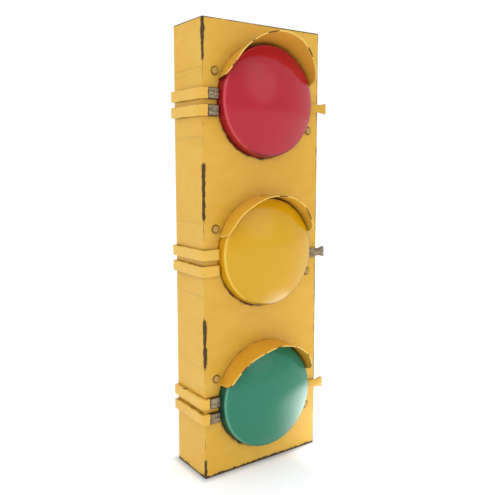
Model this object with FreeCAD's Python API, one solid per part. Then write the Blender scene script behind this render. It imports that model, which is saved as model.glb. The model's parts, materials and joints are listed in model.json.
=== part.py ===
import FreeCAD, Part
import math
import os

# Three-section traffic signal head: a folded sheet-steel housing with three domed lenses, short
# visors, bent straps on the left and flat tabs on the right, and a hinged service door at the rear.
# Millimetres. The origin is the centre of the underside. +X is to the right of someone facing the
# lenses, +Y points to the rear and +Z points up.

Vector = FreeCAD.Vector

# ---- housing ----
WIDTH = 222.0              # across the front
DEPTH = 85.0               # front face to rear flanges
SECTION_EXTRA = 11.3       # how much taller than wide one lens section is
SHEET = 1.2                # housing and door steel
EDGE_RADIUS = 1.6          # outside radius of the folded edges
SIDE_FLANGE = 16.0         # rear flanges along the sides
END_FLANGE = 66.0          # rear flanges at the top and bottom
WINDOW_RADIUS = 6.0        # corners of the rear window
PAN_LIP = 6.0              # returned edge of the front pan and the end pans
CUT_MARGIN = 1.0           # how far a cutting shape reaches past the surface it cuts

SECTION_HEIGHT = WIDTH + SECTION_EXTRA
HEIGHT = 3 * SECTION_HEIGHT
SIDE = WIDTH / 2
FRONT = -DEPTH / 2
REAR = DEPTH / 2
WINDOW_SIDE = SIDE - SIDE_FLANGE

# ---- lenses and what holds them ----
SIDE_MARGIN = 25.5         # housing side to the lens wall
LENS_TAPER = 1.3           # how much smaller the lens is at its rim
LENS_WALL = 15.8           # straight side of the lens, in front of the face
LENS_DOME = 20.0           # height of the dome over its rim
LENS_RIM_RADIUS = 3.0
LENS_THICKNESS = 2.8
APERTURE_CLEARANCE = 0.9
LENS_FLANGE = 6.5          # how far the inner flange reaches past the lens wall
LENS_FLANGE_THICKNESS = 2.5
GASKET_THICKNESS = 1.5
RING_SHEET = 1.2
RING_CLEARANCE = 0.6       # round the lens flange
RING_LIP = 5.5             # how far the ring covers the lens flange, inside the lens wall
RING_FOOT = 10.2

LENS_RADIUS = SIDE - SIDE_MARGIN
APERTURE_RADIUS = LENS_RADIUS + APERTURE_CLEARANCE
FLANGE_RADIUS = LENS_RADIUS + LENS_FLANGE
RISER_INNER = FLANGE_RADIUS + RING_CLEARANCE
RISER_OUTER = RISER_INNER + RING_SHEET
RING_RADIUS = RISER_OUTER + RING_FOOT
FLANGE_FRONT = -SHEET - GASKET_THICKNESS
FLANGE_BACK = FLANGE_FRONT - LENS_FLANGE_THICKNESS
LIP_BACK = FLANGE_BACK - RING_SHEET

# ---- lens screws, M5 ----
SCREW_RADIUS = 2.5
SCREW_HOLE_RADIUS = 2.75
SCREW_HEAD_RADIUS = 4.9
SCREW_HEAD_HEIGHT = 2.8
SCREW_HEAD_ROUNDING = 1.5
SCREW_SLOT_WIDTH = 1.1
SCREW_SLOT_DEPTH = 1.1
SCREW_OFFSET = 13.2        # screw circle outside the lens wall
SCREW_ANGLES = (155.5, -24.5)
SCREW_STICK_OUT = 3.0      # thread past the nut
NUT_ACROSS_FLATS = 8.0
NUT_HEIGHT = 4.0
NUT_CLEARANCE = 0.05

SCREW_CIRCLE = LENS_RADIUS + SCREW_OFFSET

# ---- lamp units ----
BRACKET_SHEET = 1.5
BRACKET_WIDTH = 20.0
BRACKET_SPACE = 8.5        # bracket back to the rear flanges
BRACKET_INSET = 1.0        # bracket legs outside the ring
BRACKET_BEND = 3.0
HOLDER_LENGTH = 38.0
HOLDER_RADIUS = 14.0
HOLDER_COLLAR = 3.5        # collar behind the reflector
HOLDER_COLLAR_HEIGHT = 2.0
HOLDER_THREAD_RADIUS = 5.0
HOLDER_HOLE_CLEARANCE = 0.25
HOLDER_CAP_RADIUS = 8.0
HOLDER_CAP_HEIGHT = 5.6
SHADE_RING_HEIGHT = 3.0
SHADE_RING_DEPTH = 8.0     # holder mouth to the shade ring's back
BULB_CAP_RADIUS = 7.0
BULB_CAP_LENGTH = 20.0
BULB_CAP_CLEARANCE = 0.3
BULB_RADIUS = 22.5
BULB_NECK = 28.0           # holder mouth to the bulb's middle
REFLECTOR_SHEET = 0.8
REFLECTOR_HUB = 6.0
REFLECTOR_GAP = 1.6        # reflector rim to the lens ring
REFLECTOR_MARGIN = 3.5     # reflector rim inside the lens wall
REFLECTOR_HOLE_CLEARANCE = 0.3

BRACKET_BACK = -DEPTH + BRACKET_SPACE
BRACKET_FRONT = BRACKET_BACK + BRACKET_SHEET
BRACKET_LEG = RING_RADIUS + BRACKET_INSET + BRACKET_SHEET
HOLDER_MOUTH = BRACKET_FRONT + HOLDER_LENGTH
HUB_FRONT = HOLDER_MOUTH - SHADE_RING_DEPTH
RING_FOOT_BACK = -SHEET - RING_SHEET
FOOT_BACK = RING_FOOT_BACK - BRACKET_SHEET

# ---- visors ----
VISOR_GAP = 2.4            # lens wall to the visor
VISOR_SHEET = 1.2
VISOR_START = 18.0         # angle of the right-hand end above the horizontal
VISOR_END = 161.0
VISOR_CORNER = 15.0
TACK_RADIUS = 2.0          # weld beads along the base
TACK_TOP_RADIUS = 1.2
TACK_HEIGHT = 1.8
TACK_OFFSET = 0.9          # bead middles outside the visor

# ---- straps and tabs ----
STRAP_WIDTH = 16.5
STRAP_GAP = 8.0
STRAP_PROUD = 6.0
STRAP_BEND = 8.0           # outside radius at the housing corner
STRAP_LENS_GAP = 0.7
STRAP_EDGE = 1.0           # corner radius at the ends of a strap
TAB_PROUD = 5.0
TAB_REACH = 14.0           # past the housing side
TAB_ROOT = 16.5
TAB_NECK = 12.6
TAB_END = 18.0
TAB_NECK_LENGTH = 3.0
TAB_CORNER = 1.2

# Each section: number from the bottom, visor tilt in degrees, visor reach at its lower ends and its
# top, how far the straps sit under the lens centre, and the angles of the visor's weld beads.
SECTIONS = {
    "green": (0, 0.5, 32.0, 49.0, 6.8, (40.0, 92.0, 120.0, 152.0)),
    "amber": (1, 3.0, 29.0, 43.0, 9.8, (40.0, 92.0)),
    "red": (2, 12.0, 30.5, 48.7, 4.4, (40.0, 66.0)),
}
REACH_HEIGHT = 40.6        # height over the lens centre where the lower reach is measured

# ---- rear door ----
DOOR_INSET = 8.0           # door edge inside the housing side
DOOR_OVERLAP = 8.0         # door over the end flanges
DOOR_CORNER = 5.0
DOOR_GAP = 0.3             # door rim to the rear flanges
DOOR_SEAL = 1.5            # closed gasket
DOOR_SEAL_WIDTH = 4.6
DOOR_SEAL_INSET = 0.3
VENT_LENGTH = 46.0
VENT_WIDTH = 3.0
VENT_PITCH = 8.0
VENT_COUNT = 6
VENT_MARGIN = 34.0         # door end to the first vent
VENT_OFFSET = 34.0         # vent middles beside the door's middle

DOOR_SIDE = SIDE - DOOR_INSET
DOOR_LOW = END_FLANGE - DOOR_OVERLAP
DOOR_HIGH = HEIGHT - DOOR_LOW
DOOR_INNER = REAR + DOOR_SEAL
DOOR_OUTER = DOOR_INNER + SHEET

# ---- butt hinges ----
HINGE_HEIGHT = 50.0
HINGE_SHEET = 1.2
HINGE_LEAF = 24.0          # frame leaf width from the knuckle
HINGE_KNUCKLE_RADIUS = 3.2
HINGE_PIN_RADIUS = 2.0
HINGE_PIN_CLEARANCE = 0.06
HINGE_END_KNUCKLE = 15.0
HINGE_AXIAL_GAP = 0.3
HINGE_CLEARANCE = 0.8      # knuckle to the housing
HINGE_INSET = 90.0         # hinge middle inside the door end
HINGE_OFFSET = 1.0         # pin axis outside the frame leaf
PIN_HEAD_RADIUS = 2.9
PIN_HEAD_HEIGHT = 1.5
RIVET_RADIUS = 1.6
RIVET_HEAD_RADIUS = 3.2
RIVET_HEAD_HEIGHT = 1.3
RIVET_TAIL = 1.6
RIVET_TAIL_RADIUS = 2.4
RIVET_PITCH = 32.0
RIVET_FROM_KNUCKLE = 14.0
RIVET_EDGE = 6.0           # rivets to the door leaf's edge
RIVET_WINDOW_GAP = 5.5     # door rivets inside the window side

HINGE_X = SIDE + HINGE_SHEET + HINGE_OFFSET
HINGE_Y = REAR + HINGE_CLEARANCE + HINGE_KNUCKLE_RADIUS
DOOR_RIVET_X = WINDOW_SIDE - RIVET_WINDOW_GAP
HINGE_HEIGHTS = {"lower": DOOR_LOW + HINGE_INSET, "upper": DOOR_HIGH - HINGE_INSET}

# ---- quarter-turn latch ----
LATCH_INSET = 15.0         # latch axis inside the window side
BARREL_RADIUS = 7.0
BARREL_CLEARANCE = 0.2
BARREL_FLANGE_RADIUS = 10.0
BARREL_FLANGE_HEIGHT = 2.0
LATCH_NUT_RADIUS = 10.5
LATCH_NUT_HEIGHT = 2.0
SPINDLE_RADIUS = 4.0
SPINDLE_CLEARANCE = 0.08
LATCH_AXIAL_GAP = 0.3
KNOB_RADIUS = 8.5
KNOB_HEIGHT = 1.8
WING_LENGTH = 15.0
WING_WIDTH = 3.2
WING_HEIGHT = 6.5
CAM_WIDTH = 12.0
CAM_LENGTH = 28.0
CAM_THICKNESS = 2.0
CAM_CLEARANCE = 0.5        # cam to the rear flanges

LATCH_X = LATCH_INSET - WINDOW_SIDE
LATCH_Z = HEIGHT / 2
CAM_OUTER = REAR - SHEET - CAM_CLEARANCE
CAM_INNER = CAM_OUTER - CAM_THICKNESS
BARREL_INNER = CAM_OUTER + LATCH_AXIAL_GAP
KNOB_INNER = DOOR_OUTER + BARREL_FLANGE_HEIGHT + LATCH_AXIAL_GAP

# ---- switch, cable entry and wiring ----
SERVICE_HEIGHT = 33.0      # middle of the switch and the cable entry
SERVICE_X = 60.0
SWITCH_WIDTH = 13.0
SWITCH_HEIGHT = 19.0
SWITCH_CLEARANCE = 0.1
SWITCH_BEZEL = 1.2
SWITCH_BEZEL_HEIGHT = 2.0
SWITCH_DEPTH = 16.0
ROCKER_WIDTH = 9.4
ROCKER_RADIUS = 7.6
ROCKER_CLEARANCE = 0.4
ROCKER_VALLEY = 3.0        # rocker's middle over its pivot
ROCKER_SLOPE = 12.0
ROCKER_TILT = 9.0
PIVOT_RADIUS = 1.2
PIVOT_CLEARANCE = 0.06
PIVOT_LENGTH = 1.1
PIVOT_SINK = 1.5           # pivot behind the rear flange
GROMMET_BORE = 3.6
GROMMET_HOLE = 6.5
GROMMET_RADIUS = 9.0
GROMMET_LIP = 2.2
LEAD_RADIUS = 2.0
LEAD_PITCH = 4.8
LEAD_WALL_GAP = 1.5
LEAD_BACK = 4.5            # lead middles to the rear edge
LEAD_BEND = 20.0
BLOCK_WIDTH = 24.0
BLOCK_DEPTH = 12.0
BLOCK_HEIGHT = 18.0
BLOCK_GAP = 1.0
BLOCK_SCREW_RADIUS = 1.6
BLOCK_SCREW_DEPTH = 3.0
BLOCK_SCREWS = 4
UNIT_LENGTH = 60.0
UNIT_HEIGHT = 24.0
UNIT_DEPTH = 26.0
UNIT_X = -10.0
UNIT_EDGE = 2.0
SWITCH_LEAD_HEIGHT = 14.0
SWITCH_LEAD_BEND = 6.0
UNIT_LEAD_HEIGHT = 6.0

LEAD_Y = REAR - LEAD_BACK
BLOCK_X = SIDE - SHEET - BLOCK_GAP - BLOCK_WIDTH
BLOCK_Y = REAR - SHEET - BLOCK_GAP - BLOCK_DEPTH
PIVOT_Y = REAR - PIVOT_SINK

# ---- wall mounting ----
HANGER_THICKNESS = 2.0
HANGER_LENGTH = 150.0
HANGER_MARGIN = 8.0
HANGER_HOLE_RADIUS = 2.75
HANGER_PITCH = 120.0
BUMPER_RADIUS = 8.0
BUMPER_TOP_RADIUS = 6.5
BUMPER_HEIGHT = 14.0
BUMPER_X = 86.0
BUMPER_END = 20.0

HANGER_Z = HEIGHT - END_FLANGE / 2


def box(low, high):
    """Block between two opposite corners."""
    size = [end - start for start, end in zip(low, high)]
    return Part.makeBox(size[0], size[1], size[2], Vector(*low))


def rod(start, direction, length, radius):
    return Part.makeCylinder(radius, length, Vector(*start), Vector(*direction))


def forward_to_y(forward):
    """Y of a point that lies this far in front of the front face."""
    return FRONT - forward


def centre_height(name):
    return (SECTIONS[name][0] + 0.5) * SECTION_HEIGHT


def joined(shapes):
    return shapes[0].fuse(shapes[1:]).removeSplitter()


def corner_arc(before, corner, after, radius):
    """Start, middle and end of the arc that rounds a corner."""
    back = (before - corner).normalize()
    ahead = (after - corner).normalize()
    half = back.getAngle(ahead) / 2
    reach = radius / math.tan(half)
    inward = (back + ahead).normalize()
    middle = corner + inward * (radius / math.sin(half) - radius)
    return corner + back * reach, middle, corner + ahead * reach


def rounded_wire(points, radii, closed=True):
    """Wire through the points; each corner is rounded by its radius, and 0 leaves it sharp."""
    count = len(points)
    stops = []
    for index, corner in enumerate(points):
        at_end = not closed and index in (0, count - 1)
        if at_end or radii[index] == 0:
            stops.append((corner, None, corner))
        else:
            after = points[(index + 1) % count]
            stops.append(corner_arc(points[index - 1], corner, after, radii[index]))
    edges = []
    for index in range(count if closed else count - 1):
        arrive, middle, leave = stops[(index + 1) % count]
        edges.append(Part.makeLine(stops[index][2], arrive))
        if middle is not None:
            edges.append(Part.Arc(arrive, middle, leave).toShape())
    return Part.Wire(edges)


def upright_plate(outline, radii, y_front, y_back):
    """Plate parallel to the front face, from an outline of X and Z."""
    points = [Vector(x, y_front, z) for x, z in outline]
    face = Part.Face(rounded_wire(points, radii))
    return face.extrude(Vector(0, y_back - y_front, 0))


def rounded_slab(x_half, z_low, z_high, radius, y_front, y_back):
    outline = [(-x_half, z_low), (x_half, z_low), (x_half, z_high), (-x_half, z_high)]
    return upright_plate(outline, [radius] * 4, y_front, y_back)


def turned(outline, height):
    """Solid of revolution about a lens axis, from radius and distance in front of the face."""
    points = [Vector(radius, forward_to_y(forward), height) for radius, forward in outline]
    face = Part.Face(Part.makePolygon(points + [points[0]]))
    return face.revolve(Vector(0, 0, height), Vector(0, 1, 0), 360)


def screw_places(height):
    """X and Z of the two lens screws of one section."""
    places = []
    for angle in SCREW_ANGLES:
        turn = math.radians(angle)
        places.append((SCREW_CIRCLE * math.cos(turn), height + SCREW_CIRCLE * math.sin(turn)))
    return places


def hinge_rivet_heights(middle):
    return (middle - RIVET_PITCH / 2, middle + RIVET_PITCH / 2)


# ---- fixed housing ----

def housing_shell():
    """Folded box with the lens apertures in front and the service window behind."""
    low = (-SIDE, FRONT, 0)
    shell = box(low, (SIDE, REAR, HEIGHT))
    shell = shell.makeFillet(EDGE_RADIUS, shell.Edges)
    inside_low = (SHEET - SIDE, FRONT + SHEET, SHEET)
    shell = shell.cut(box(inside_low, (SIDE - SHEET, REAR - SHEET, HEIGHT - SHEET)))
    window = rounded_slab(WINDOW_SIDE, END_FLANGE, HEIGHT - END_FLANGE, WINDOW_RADIUS,
                          REAR - 2 * SHEET, REAR + SHEET)
    cuts = [window]
    for name in SECTIONS:
        height = centre_height(name)
        start = FRONT - SHEET
        cuts.append(rod((0, start, height), (0, 1, 0), 3 * SHEET, APERTURE_RADIUS))
        for x, z in screw_places(height):
            cuts.append(rod((x, start, z), (0, 1, 0), 3 * SHEET, SCREW_HOLE_RADIUS))
    for x in (-HANGER_PITCH / 2, HANGER_PITCH / 2):
        cuts.append(rod((x, REAR - 2 * SHEET, HANGER_Z), (0, 1, 0), 3 * SHEET, HANGER_HOLE_RADIUS))
    cuts.append(rod((-SERVICE_X, REAR - 2 * SHEET, SERVICE_HEIGHT), (0, 1, 0), 3 * SHEET, GROMMET_HOLE))
    half_width = SWITCH_WIDTH / 2
    half_height = SWITCH_HEIGHT / 2
    cuts.append(box((SERVICE_X - half_width, REAR - 2 * SHEET, SERVICE_HEIGHT - half_height),
                    (SERVICE_X + half_width, REAR + SHEET, SERVICE_HEIGHT + half_height)))
    for middle in HINGE_HEIGHTS.values():
        for z in hinge_rivet_heights(middle):
            cuts.append(rod((SIDE - 2 * SHEET, HINGE_Y - RIVET_FROM_KNUCKLE, z), (1, 0, 0),
                            3 * SHEET, RIVET_RADIUS))
    return welded_sheets(shell.cut(cuts))


def welded_sheets(shell):
    """The sheets the shell is welded from: a front pan, two sides and two end pans."""
    behind = FRONT + PAN_LIP
    sheets = [shell.common(box((-SIDE, FRONT, 0), (SIDE, behind, HEIGHT)))]
    for side in (-1, 1):
        near, far = sorted((side * WINDOW_SIDE, side * SIDE))
        region = box((near, behind, PAN_LIP), (far, REAR, HEIGHT - PAN_LIP))
        sheets.append(shell.common(region))
    flange = END_FLANGE + WINDOW_RADIUS
    for lip_ends, flange_ends in (((0, PAN_LIP), (0, flange)),
                                  ((HEIGHT - PAN_LIP, HEIGHT), (HEIGHT - flange, HEIGHT))):
        lip = box((-SIDE, behind, lip_ends[0]), (SIDE, REAR, lip_ends[1]))
        rear = box((-WINDOW_SIDE, behind, flange_ends[0]), (WINDOW_SIDE, REAR, flange_ends[1]))
        sheets.append(shell.common(lip.fuse(rear)))
    return Part.makeCompound([solid for sheet in sheets for solid in sheet.Solids])


def strap(middle):
    """Flat bar from the lens edge across the front, round the corner and back along the side."""
    outer_x = -SIDE - STRAP_PROUD
    outer_y = FRONT - STRAP_PROUD
    end_x = -LENS_RADIUS - STRAP_LENS_GAP
    outline = [(end_x, outer_y), (outer_x, outer_y), (outer_x, REAR), (-SIDE, REAR),
               (-SIDE, FRONT), (end_x, FRONT)]
    radii = [STRAP_EDGE, STRAP_BEND, STRAP_EDGE, 0, EDGE_RADIUS, 0]
    low = middle - STRAP_WIDTH / 2
    points = [Vector(x, y, low) for x, y in outline]
    return Part.Face(rounded_wire(points, radii)).extrude(Vector(0, 0, STRAP_WIDTH))


def strap_middle(name, side):
    """Height of one strap's middle; side is +1 for the upper and -1 for the lower strap."""
    pair_middle = centre_height(name) - SECTIONS[name][4]
    return pair_middle + side * (STRAP_WIDTH + STRAP_GAP) / 2


def latch_tab(name):
    """Flat tab on the front that necks at the housing edge and flares past it."""
    middle = centre_height(name) - SECTIONS[name][4]
    root_x = LENS_RADIUS + STRAP_LENS_GAP
    neck_x = SIDE - TAB_NECK_LENGTH
    end_x = SIDE + TAB_REACH
    upper = [(root_x, TAB_ROOT), (neck_x, TAB_NECK), (SIDE + TAB_NECK_LENGTH, TAB_NECK), (end_x, TAB_END)]
    outline = [(x, middle + width / 2) for x, width in upper]
    outline += [(x, middle - width / 2) for x, width in reversed(upper)]
    radii = [0, TAB_NECK_LENGTH, TAB_NECK_LENGTH, TAB_CORNER, TAB_CORNER, TAB_NECK_LENGTH,
             TAB_NECK_LENGTH, 0]
    return upright_plate(outline, radii, FRONT - TAB_PROUD, FRONT)


def visor(name):
    """Bent sheet over the lens, tilted up a little, with rounded lower corners."""
    _, tilt, low_reach, top_reach, _, tacks = SECTIONS[name]
    height = centre_height(name)
    inner = LENS_RADIUS + VISOR_GAP
    outer = inner + VISOR_SHEET
    slope = math.tan(math.radians(tilt))
    length = 2 * top_reach
    base = Vector(0, FRONT, height)

    def on_arc(radius, angle):
        turn = math.radians(angle)
        return base + Vector(radius * math.cos(turn), 0, radius * math.sin(turn))

    middle_angle = (VISOR_START + VISOR_END) / 2
    edges = [
        Part.Arc(on_arc(outer, VISOR_START), on_arc(outer, middle_angle), on_arc(outer, VISOR_END)).toShape(),
        Part.makeLine(on_arc(outer, VISOR_END), on_arc(inner, VISOR_END)),
        Part.Arc(on_arc(inner, VISOR_END), on_arc(inner, middle_angle), on_arc(inner, VISOR_START)).toShape(),
        Part.makeLine(on_arc(inner, VISOR_START), on_arc(outer, VISOR_START)),
    ]
    sheet = Part.Face(Part.Wire(edges)).extrude(Vector(0, -length, length * slope))

    def front_reach(rise):
        share = (rise - REACH_HEIGHT) / (inner - REACH_HEIGHT)
        return low_reach + (top_reach - low_reach) * share

    # Side view of what is kept: the lower edge runs forward from the housing, turns round the
    # corner and goes up along the sloping front edge.
    low_start = outer * math.sin(math.radians(min(VISOR_START, 180 - VISOR_END))) - VISOR_SHEET
    corner_rise = low_start + front_reach(low_start) * slope
    high_rise = outer + length * slope + VISOR_SHEET
    side_view = [(0, low_start), (front_reach(corner_rise), corner_rise),
                 (front_reach(high_rise), high_rise), (0, high_rise)]
    points = [Vector(-SIDE, forward_to_y(reach), height + rise) for reach, rise in side_view]
    keep = Part.Face(rounded_wire(points, [0, VISOR_CORNER, 0, 0])).extrude(Vector(WIDTH, 0, 0))
    body = sheet.common(keep)
    beads = []
    for angle in tacks:
        place = on_arc(outer + TACK_OFFSET, angle)
        beads.append(Part.makeCone(TACK_RADIUS, TACK_TOP_RADIUS, TACK_HEIGHT, place, Vector(0, -1, 0)))
    return joined([body] + beads)


def lens(name):
    """Domed cup: inner flange, straight tapering wall, rounded rim and shallow dome."""
    height = centre_height(name)
    rim = LENS_RADIUS - LENS_TAPER
    inner_wall = LENS_RADIUS - LENS_THICKNESS
    inner_rim = rim - LENS_THICKNESS
    apex = LENS_WALL + LENS_DOME

    def point(radius, forward):
        return Vector(radius, forward_to_y(forward), height)

    def dome(radius, rise, top):
        """Arc from the rim to the axis."""
        sagitta = top - rise
        sphere = (radius ** 2 + sagitta ** 2) / (2 * sagitta)
        half = math.asin(radius / sphere) / 2
        on_way = point(sphere * math.sin(half), top - sphere * (1 - math.cos(half)))
        return Part.Arc(point(radius, rise), on_way, point(0, top)).toShape()

    inner_rise = LENS_WALL - LENS_THICKNESS / 2
    inner_top = apex - LENS_THICKNESS
    edges = [
        Part.makeLine(point(inner_wall, FLANGE_BACK), point(FLANGE_RADIUS, FLANGE_BACK)),
        Part.makeLine(point(FLANGE_RADIUS, FLANGE_BACK), point(FLANGE_RADIUS, FLANGE_FRONT)),
        Part.makeLine(point(FLANGE_RADIUS, FLANGE_FRONT), point(LENS_RADIUS, FLANGE_FRONT)),
        Part.makeLine(point(LENS_RADIUS, FLANGE_FRONT), point(rim, LENS_WALL)),
        dome(rim, LENS_WALL, apex),
        Part.makeLine(point(0, apex), point(0, inner_top)),
        dome(inner_rim, inner_rise, inner_top),
        Part.makeLine(point(inner_rim, inner_rise), point(inner_wall, FLANGE_BACK)),
    ]
    face = Part.Face(Part.Wire(Part.sortEdges(edges)[0]))
    cup = face.revolve(Vector(0, 0, height), Vector(0, 1, 0), 360)
    rim_y = forward_to_y(LENS_WALL)
    rim_edges = [edge for edge in cup.Edges if is_circle_at(edge, rim_y, rim)]
    return cup.makeFillet(LENS_RIM_RADIUS, rim_edges)


def is_circle_at(edge, y, radius):
    """True for a full circle about a Y axis at this Y and radius."""
    tolerance = 1e-4
    if edge.Degenerated:
        return False
    curve = edge.Curve
    if curve.TypeId != "Part::GeomCircle":
        return False
    return abs(curve.Center.y - y) < tolerance and abs(curve.Radius - radius) < tolerance


def lens_gasket(name):
    outline = [(APERTURE_RADIUS, -SHEET), (FLANGE_RADIUS, -SHEET), (FLANGE_RADIUS, FLANGE_FRONT),
               (APERTURE_RADIUS, FLANGE_FRONT)]
    return turned(outline, centre_height(name))


def lens_ring(name):
    """Stepped ring that clamps the lens flange from behind."""
    height = centre_height(name)
    lip_radius = LENS_RADIUS - RING_LIP
    outline = [(RING_RADIUS, -SHEET), (RING_RADIUS, RING_FOOT_BACK), (RISER_OUTER, RING_FOOT_BACK),
               (RISER_OUTER, LIP_BACK), (lip_radius, LIP_BACK), (lip_radius, FLANGE_BACK),
               (RISER_INNER, FLANGE_BACK), (RISER_INNER, -SHEET)]
    ring = turned(outline, height)
    holes = []
    for x, z in screw_places(height):
        holes.append(rod((x, FRONT, z), (0, 1, 0), 3 * SHEET, SCREW_HOLE_RADIUS))
    return ring.cut(holes)


def lens_screws():
    """Slotted pan-head screws, two for each lens."""
    screws = []
    length = NUT_HEIGHT + SCREW_STICK_OUT - FOOT_BACK
    for name in SECTIONS:
        for x, z in screw_places(centre_height(name)):
            head = rod((x, FRONT - SCREW_HEAD_HEIGHT, z), (0, 1, 0), SCREW_HEAD_HEIGHT, SCREW_HEAD_RADIUS)
            top = [edge for edge in head.Edges
                   if is_circle_at(edge, FRONT - SCREW_HEAD_HEIGHT, SCREW_HEAD_RADIUS)]
            head = head.makeFillet(SCREW_HEAD_ROUNDING, top)
            slot_low = (x - SCREW_SLOT_WIDTH / 2, FRONT - 2 * SCREW_HEAD_HEIGHT, z - 2 * SCREW_HEAD_RADIUS)
            slot_high = (x + SCREW_SLOT_WIDTH / 2, FRONT - SCREW_HEAD_HEIGHT + SCREW_SLOT_DEPTH,
                         z + 2 * SCREW_HEAD_RADIUS)
            shank = rod((x, FRONT, z), (0, 1, 0), length, SCREW_RADIUS)
            screws.append(joined([head.cut(box(slot_low, slot_high)), shank]))
    return Part.makeCompound(screws)


def lens_nuts():
    """Hexagon nuts on the lens screws, each with a flat towards its lens."""
    nuts = []
    corner = NUT_ACROSS_FLATS / 2 / math.cos(math.radians(30))
    y = forward_to_y(FOOT_BACK)
    for name in SECTIONS:
        for (x, z), screw_angle in zip(screw_places(centre_height(name)), SCREW_ANGLES):
            points = []
            for step in range(7):
                turn = math.radians(screw_angle + 30 + 60 * step)
                points.append(Vector(x + corner * math.cos(turn), y, z + corner * math.sin(turn)))
            nut = Part.Face(Part.makePolygon(points)).extrude(Vector(0, NUT_HEIGHT, 0))
            hole = rod((x, y - CUT_MARGIN, z), (0, 1, 0), NUT_HEIGHT + 2 * CUT_MARGIN,
                       SCREW_RADIUS + NUT_CLEARANCE)
            nuts.append(nut.cut(hole))
    return Part.makeCompound(nuts)


# ---- lamp units ----

def lamp_bracket(name):
    """Wide U of strip steel, its feet on the lens ring under the screws' nuts."""
    height = centre_height(name)
    inner_leg = BRACKET_LEG - BRACKET_SHEET
    foot_end = RISER_OUTER + RING_CLEARANCE
    half = [(foot_end, FOOT_BACK), (foot_end, RING_FOOT_BACK), (BRACKET_LEG, RING_FOOT_BACK),
            (BRACKET_LEG, BRACKET_BACK)]
    inside = [(inner_leg, BRACKET_FRONT), (inner_leg, FOOT_BACK)]
    outline = half + [(-across, forward) for across, forward in reversed(half)]
    outline += [(-across, forward) for across, forward in reversed(inside)] + inside
    outer_bend = BRACKET_BEND
    inner_bend = BRACKET_BEND - BRACKET_SHEET
    radii = [0, 0, outer_bend, outer_bend, outer_bend, outer_bend, 0, 0,
             inner_bend, inner_bend, inner_bend, inner_bend]
    low = height - BRACKET_WIDTH / 2
    points = [Vector(across, forward_to_y(forward), low) for across, forward in outline]
    strip = Part.Face(rounded_wire(points, radii)).extrude(Vector(0, 0, BRACKET_WIDTH))
    holes = [rod((0, REAR, height), (0, -1, 0), DEPTH / 2, HOLDER_THREAD_RADIUS + HOLDER_HOLE_CLEARANCE)]
    for x in (-SCREW_CIRCLE, SCREW_CIRCLE):
        holes.append(rod((x, FRONT, height), (0, 1, 0), DEPTH / 2, SCREW_HOLE_RADIUS))
    strip = strip.cut(holes)
    strip.rotate(Vector(0, 0, height), Vector(0, -1, 0), SCREW_ANGLES[1])
    return strip


def lampholder(name):
    """Holder on the bracket: threaded end with a cap behind, collar and socket in front."""
    height = centre_height(name)
    collar_radius = HOLDER_RADIUS + HOLDER_COLLAR
    hub_back = HUB_FRONT - REFLECTOR_SHEET
    cap_back = BRACKET_BACK - HOLDER_CAP_HEIGHT
    bore = BULB_CAP_RADIUS + BULB_CAP_CLEARANCE
    bore_end = HOLDER_MOUTH - BULB_CAP_LENGTH - BULB_CAP_CLEARANCE
    outline = [(0, cap_back), (HOLDER_CAP_RADIUS, cap_back), (HOLDER_CAP_RADIUS, BRACKET_BACK),
               (HOLDER_THREAD_RADIUS, BRACKET_BACK), (HOLDER_THREAD_RADIUS, BRACKET_FRONT),
               (HOLDER_RADIUS, BRACKET_FRONT), (HOLDER_RADIUS, hub_back - HOLDER_COLLAR_HEIGHT),
               (collar_radius, hub_back - HOLDER_COLLAR_HEIGHT), (collar_radius, hub_back),
               (HOLDER_RADIUS, hub_back), (HOLDER_RADIUS, HOLDER_MOUTH), (bore, HOLDER_MOUTH),
               (bore, bore_end), (0, bore_end)]
    return turned(outline, height)


def shade_rings():
    """Threaded rings that clamp the reflectors to the holders' collars."""
    rings = []
    ring_radius = HOLDER_RADIUS + HOLDER_COLLAR
    ring_front = HUB_FRONT + SHADE_RING_HEIGHT
    for name in SECTIONS:
        outline = [(HOLDER_RADIUS, HUB_FRONT), (ring_radius, HUB_FRONT), (ring_radius, ring_front),
                   (HOLDER_RADIUS, ring_front)]
        rings.append(turned(outline, centre_height(name)))
    return Part.makeCompound(rings)


def reflector(name):
    """Spun dish from the holder's collar out to just behind the lens ring."""
    height = centre_height(name)
    hole = HOLDER_RADIUS + REFLECTOR_HOLE_CLEARANCE
    hub = hole + REFLECTOR_HUB
    rim = LENS_RADIUS - REFLECTOR_MARGIN
    rim_front = LIP_BACK - REFLECTOR_GAP

    def point(radius, forward):
        return Vector(radius, forward_to_y(forward), height)

    def dish(shift):
        """Curve of one face of the sheet; the other face lies one sheet behind it."""
        on_way = point((hub + rim) / 2, (2 * HUB_FRONT + rim_front) / 3 - shift)
        return Part.Arc(point(hub, HUB_FRONT - shift), on_way, point(rim, rim_front - shift)).toShape()

    edges = [
        Part.makeLine(point(hole, HUB_FRONT), point(hub, HUB_FRONT)),
        dish(0),
        Part.makeLine(point(rim, rim_front), point(rim, rim_front - REFLECTOR_SHEET)),
        dish(REFLECTOR_SHEET),
        Part.makeLine(point(hub, HUB_FRONT - REFLECTOR_SHEET), point(hole, HUB_FRONT - REFLECTOR_SHEET)),
        Part.makeLine(point(hole, HUB_FRONT - REFLECTOR_SHEET), point(hole, HUB_FRONT)),
    ]
    face = Part.Face(Part.Wire(Part.sortEdges(edges)[0]))
    return face.revolve(Vector(0, 0, height), Vector(0, 1, 0), 360)


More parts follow.
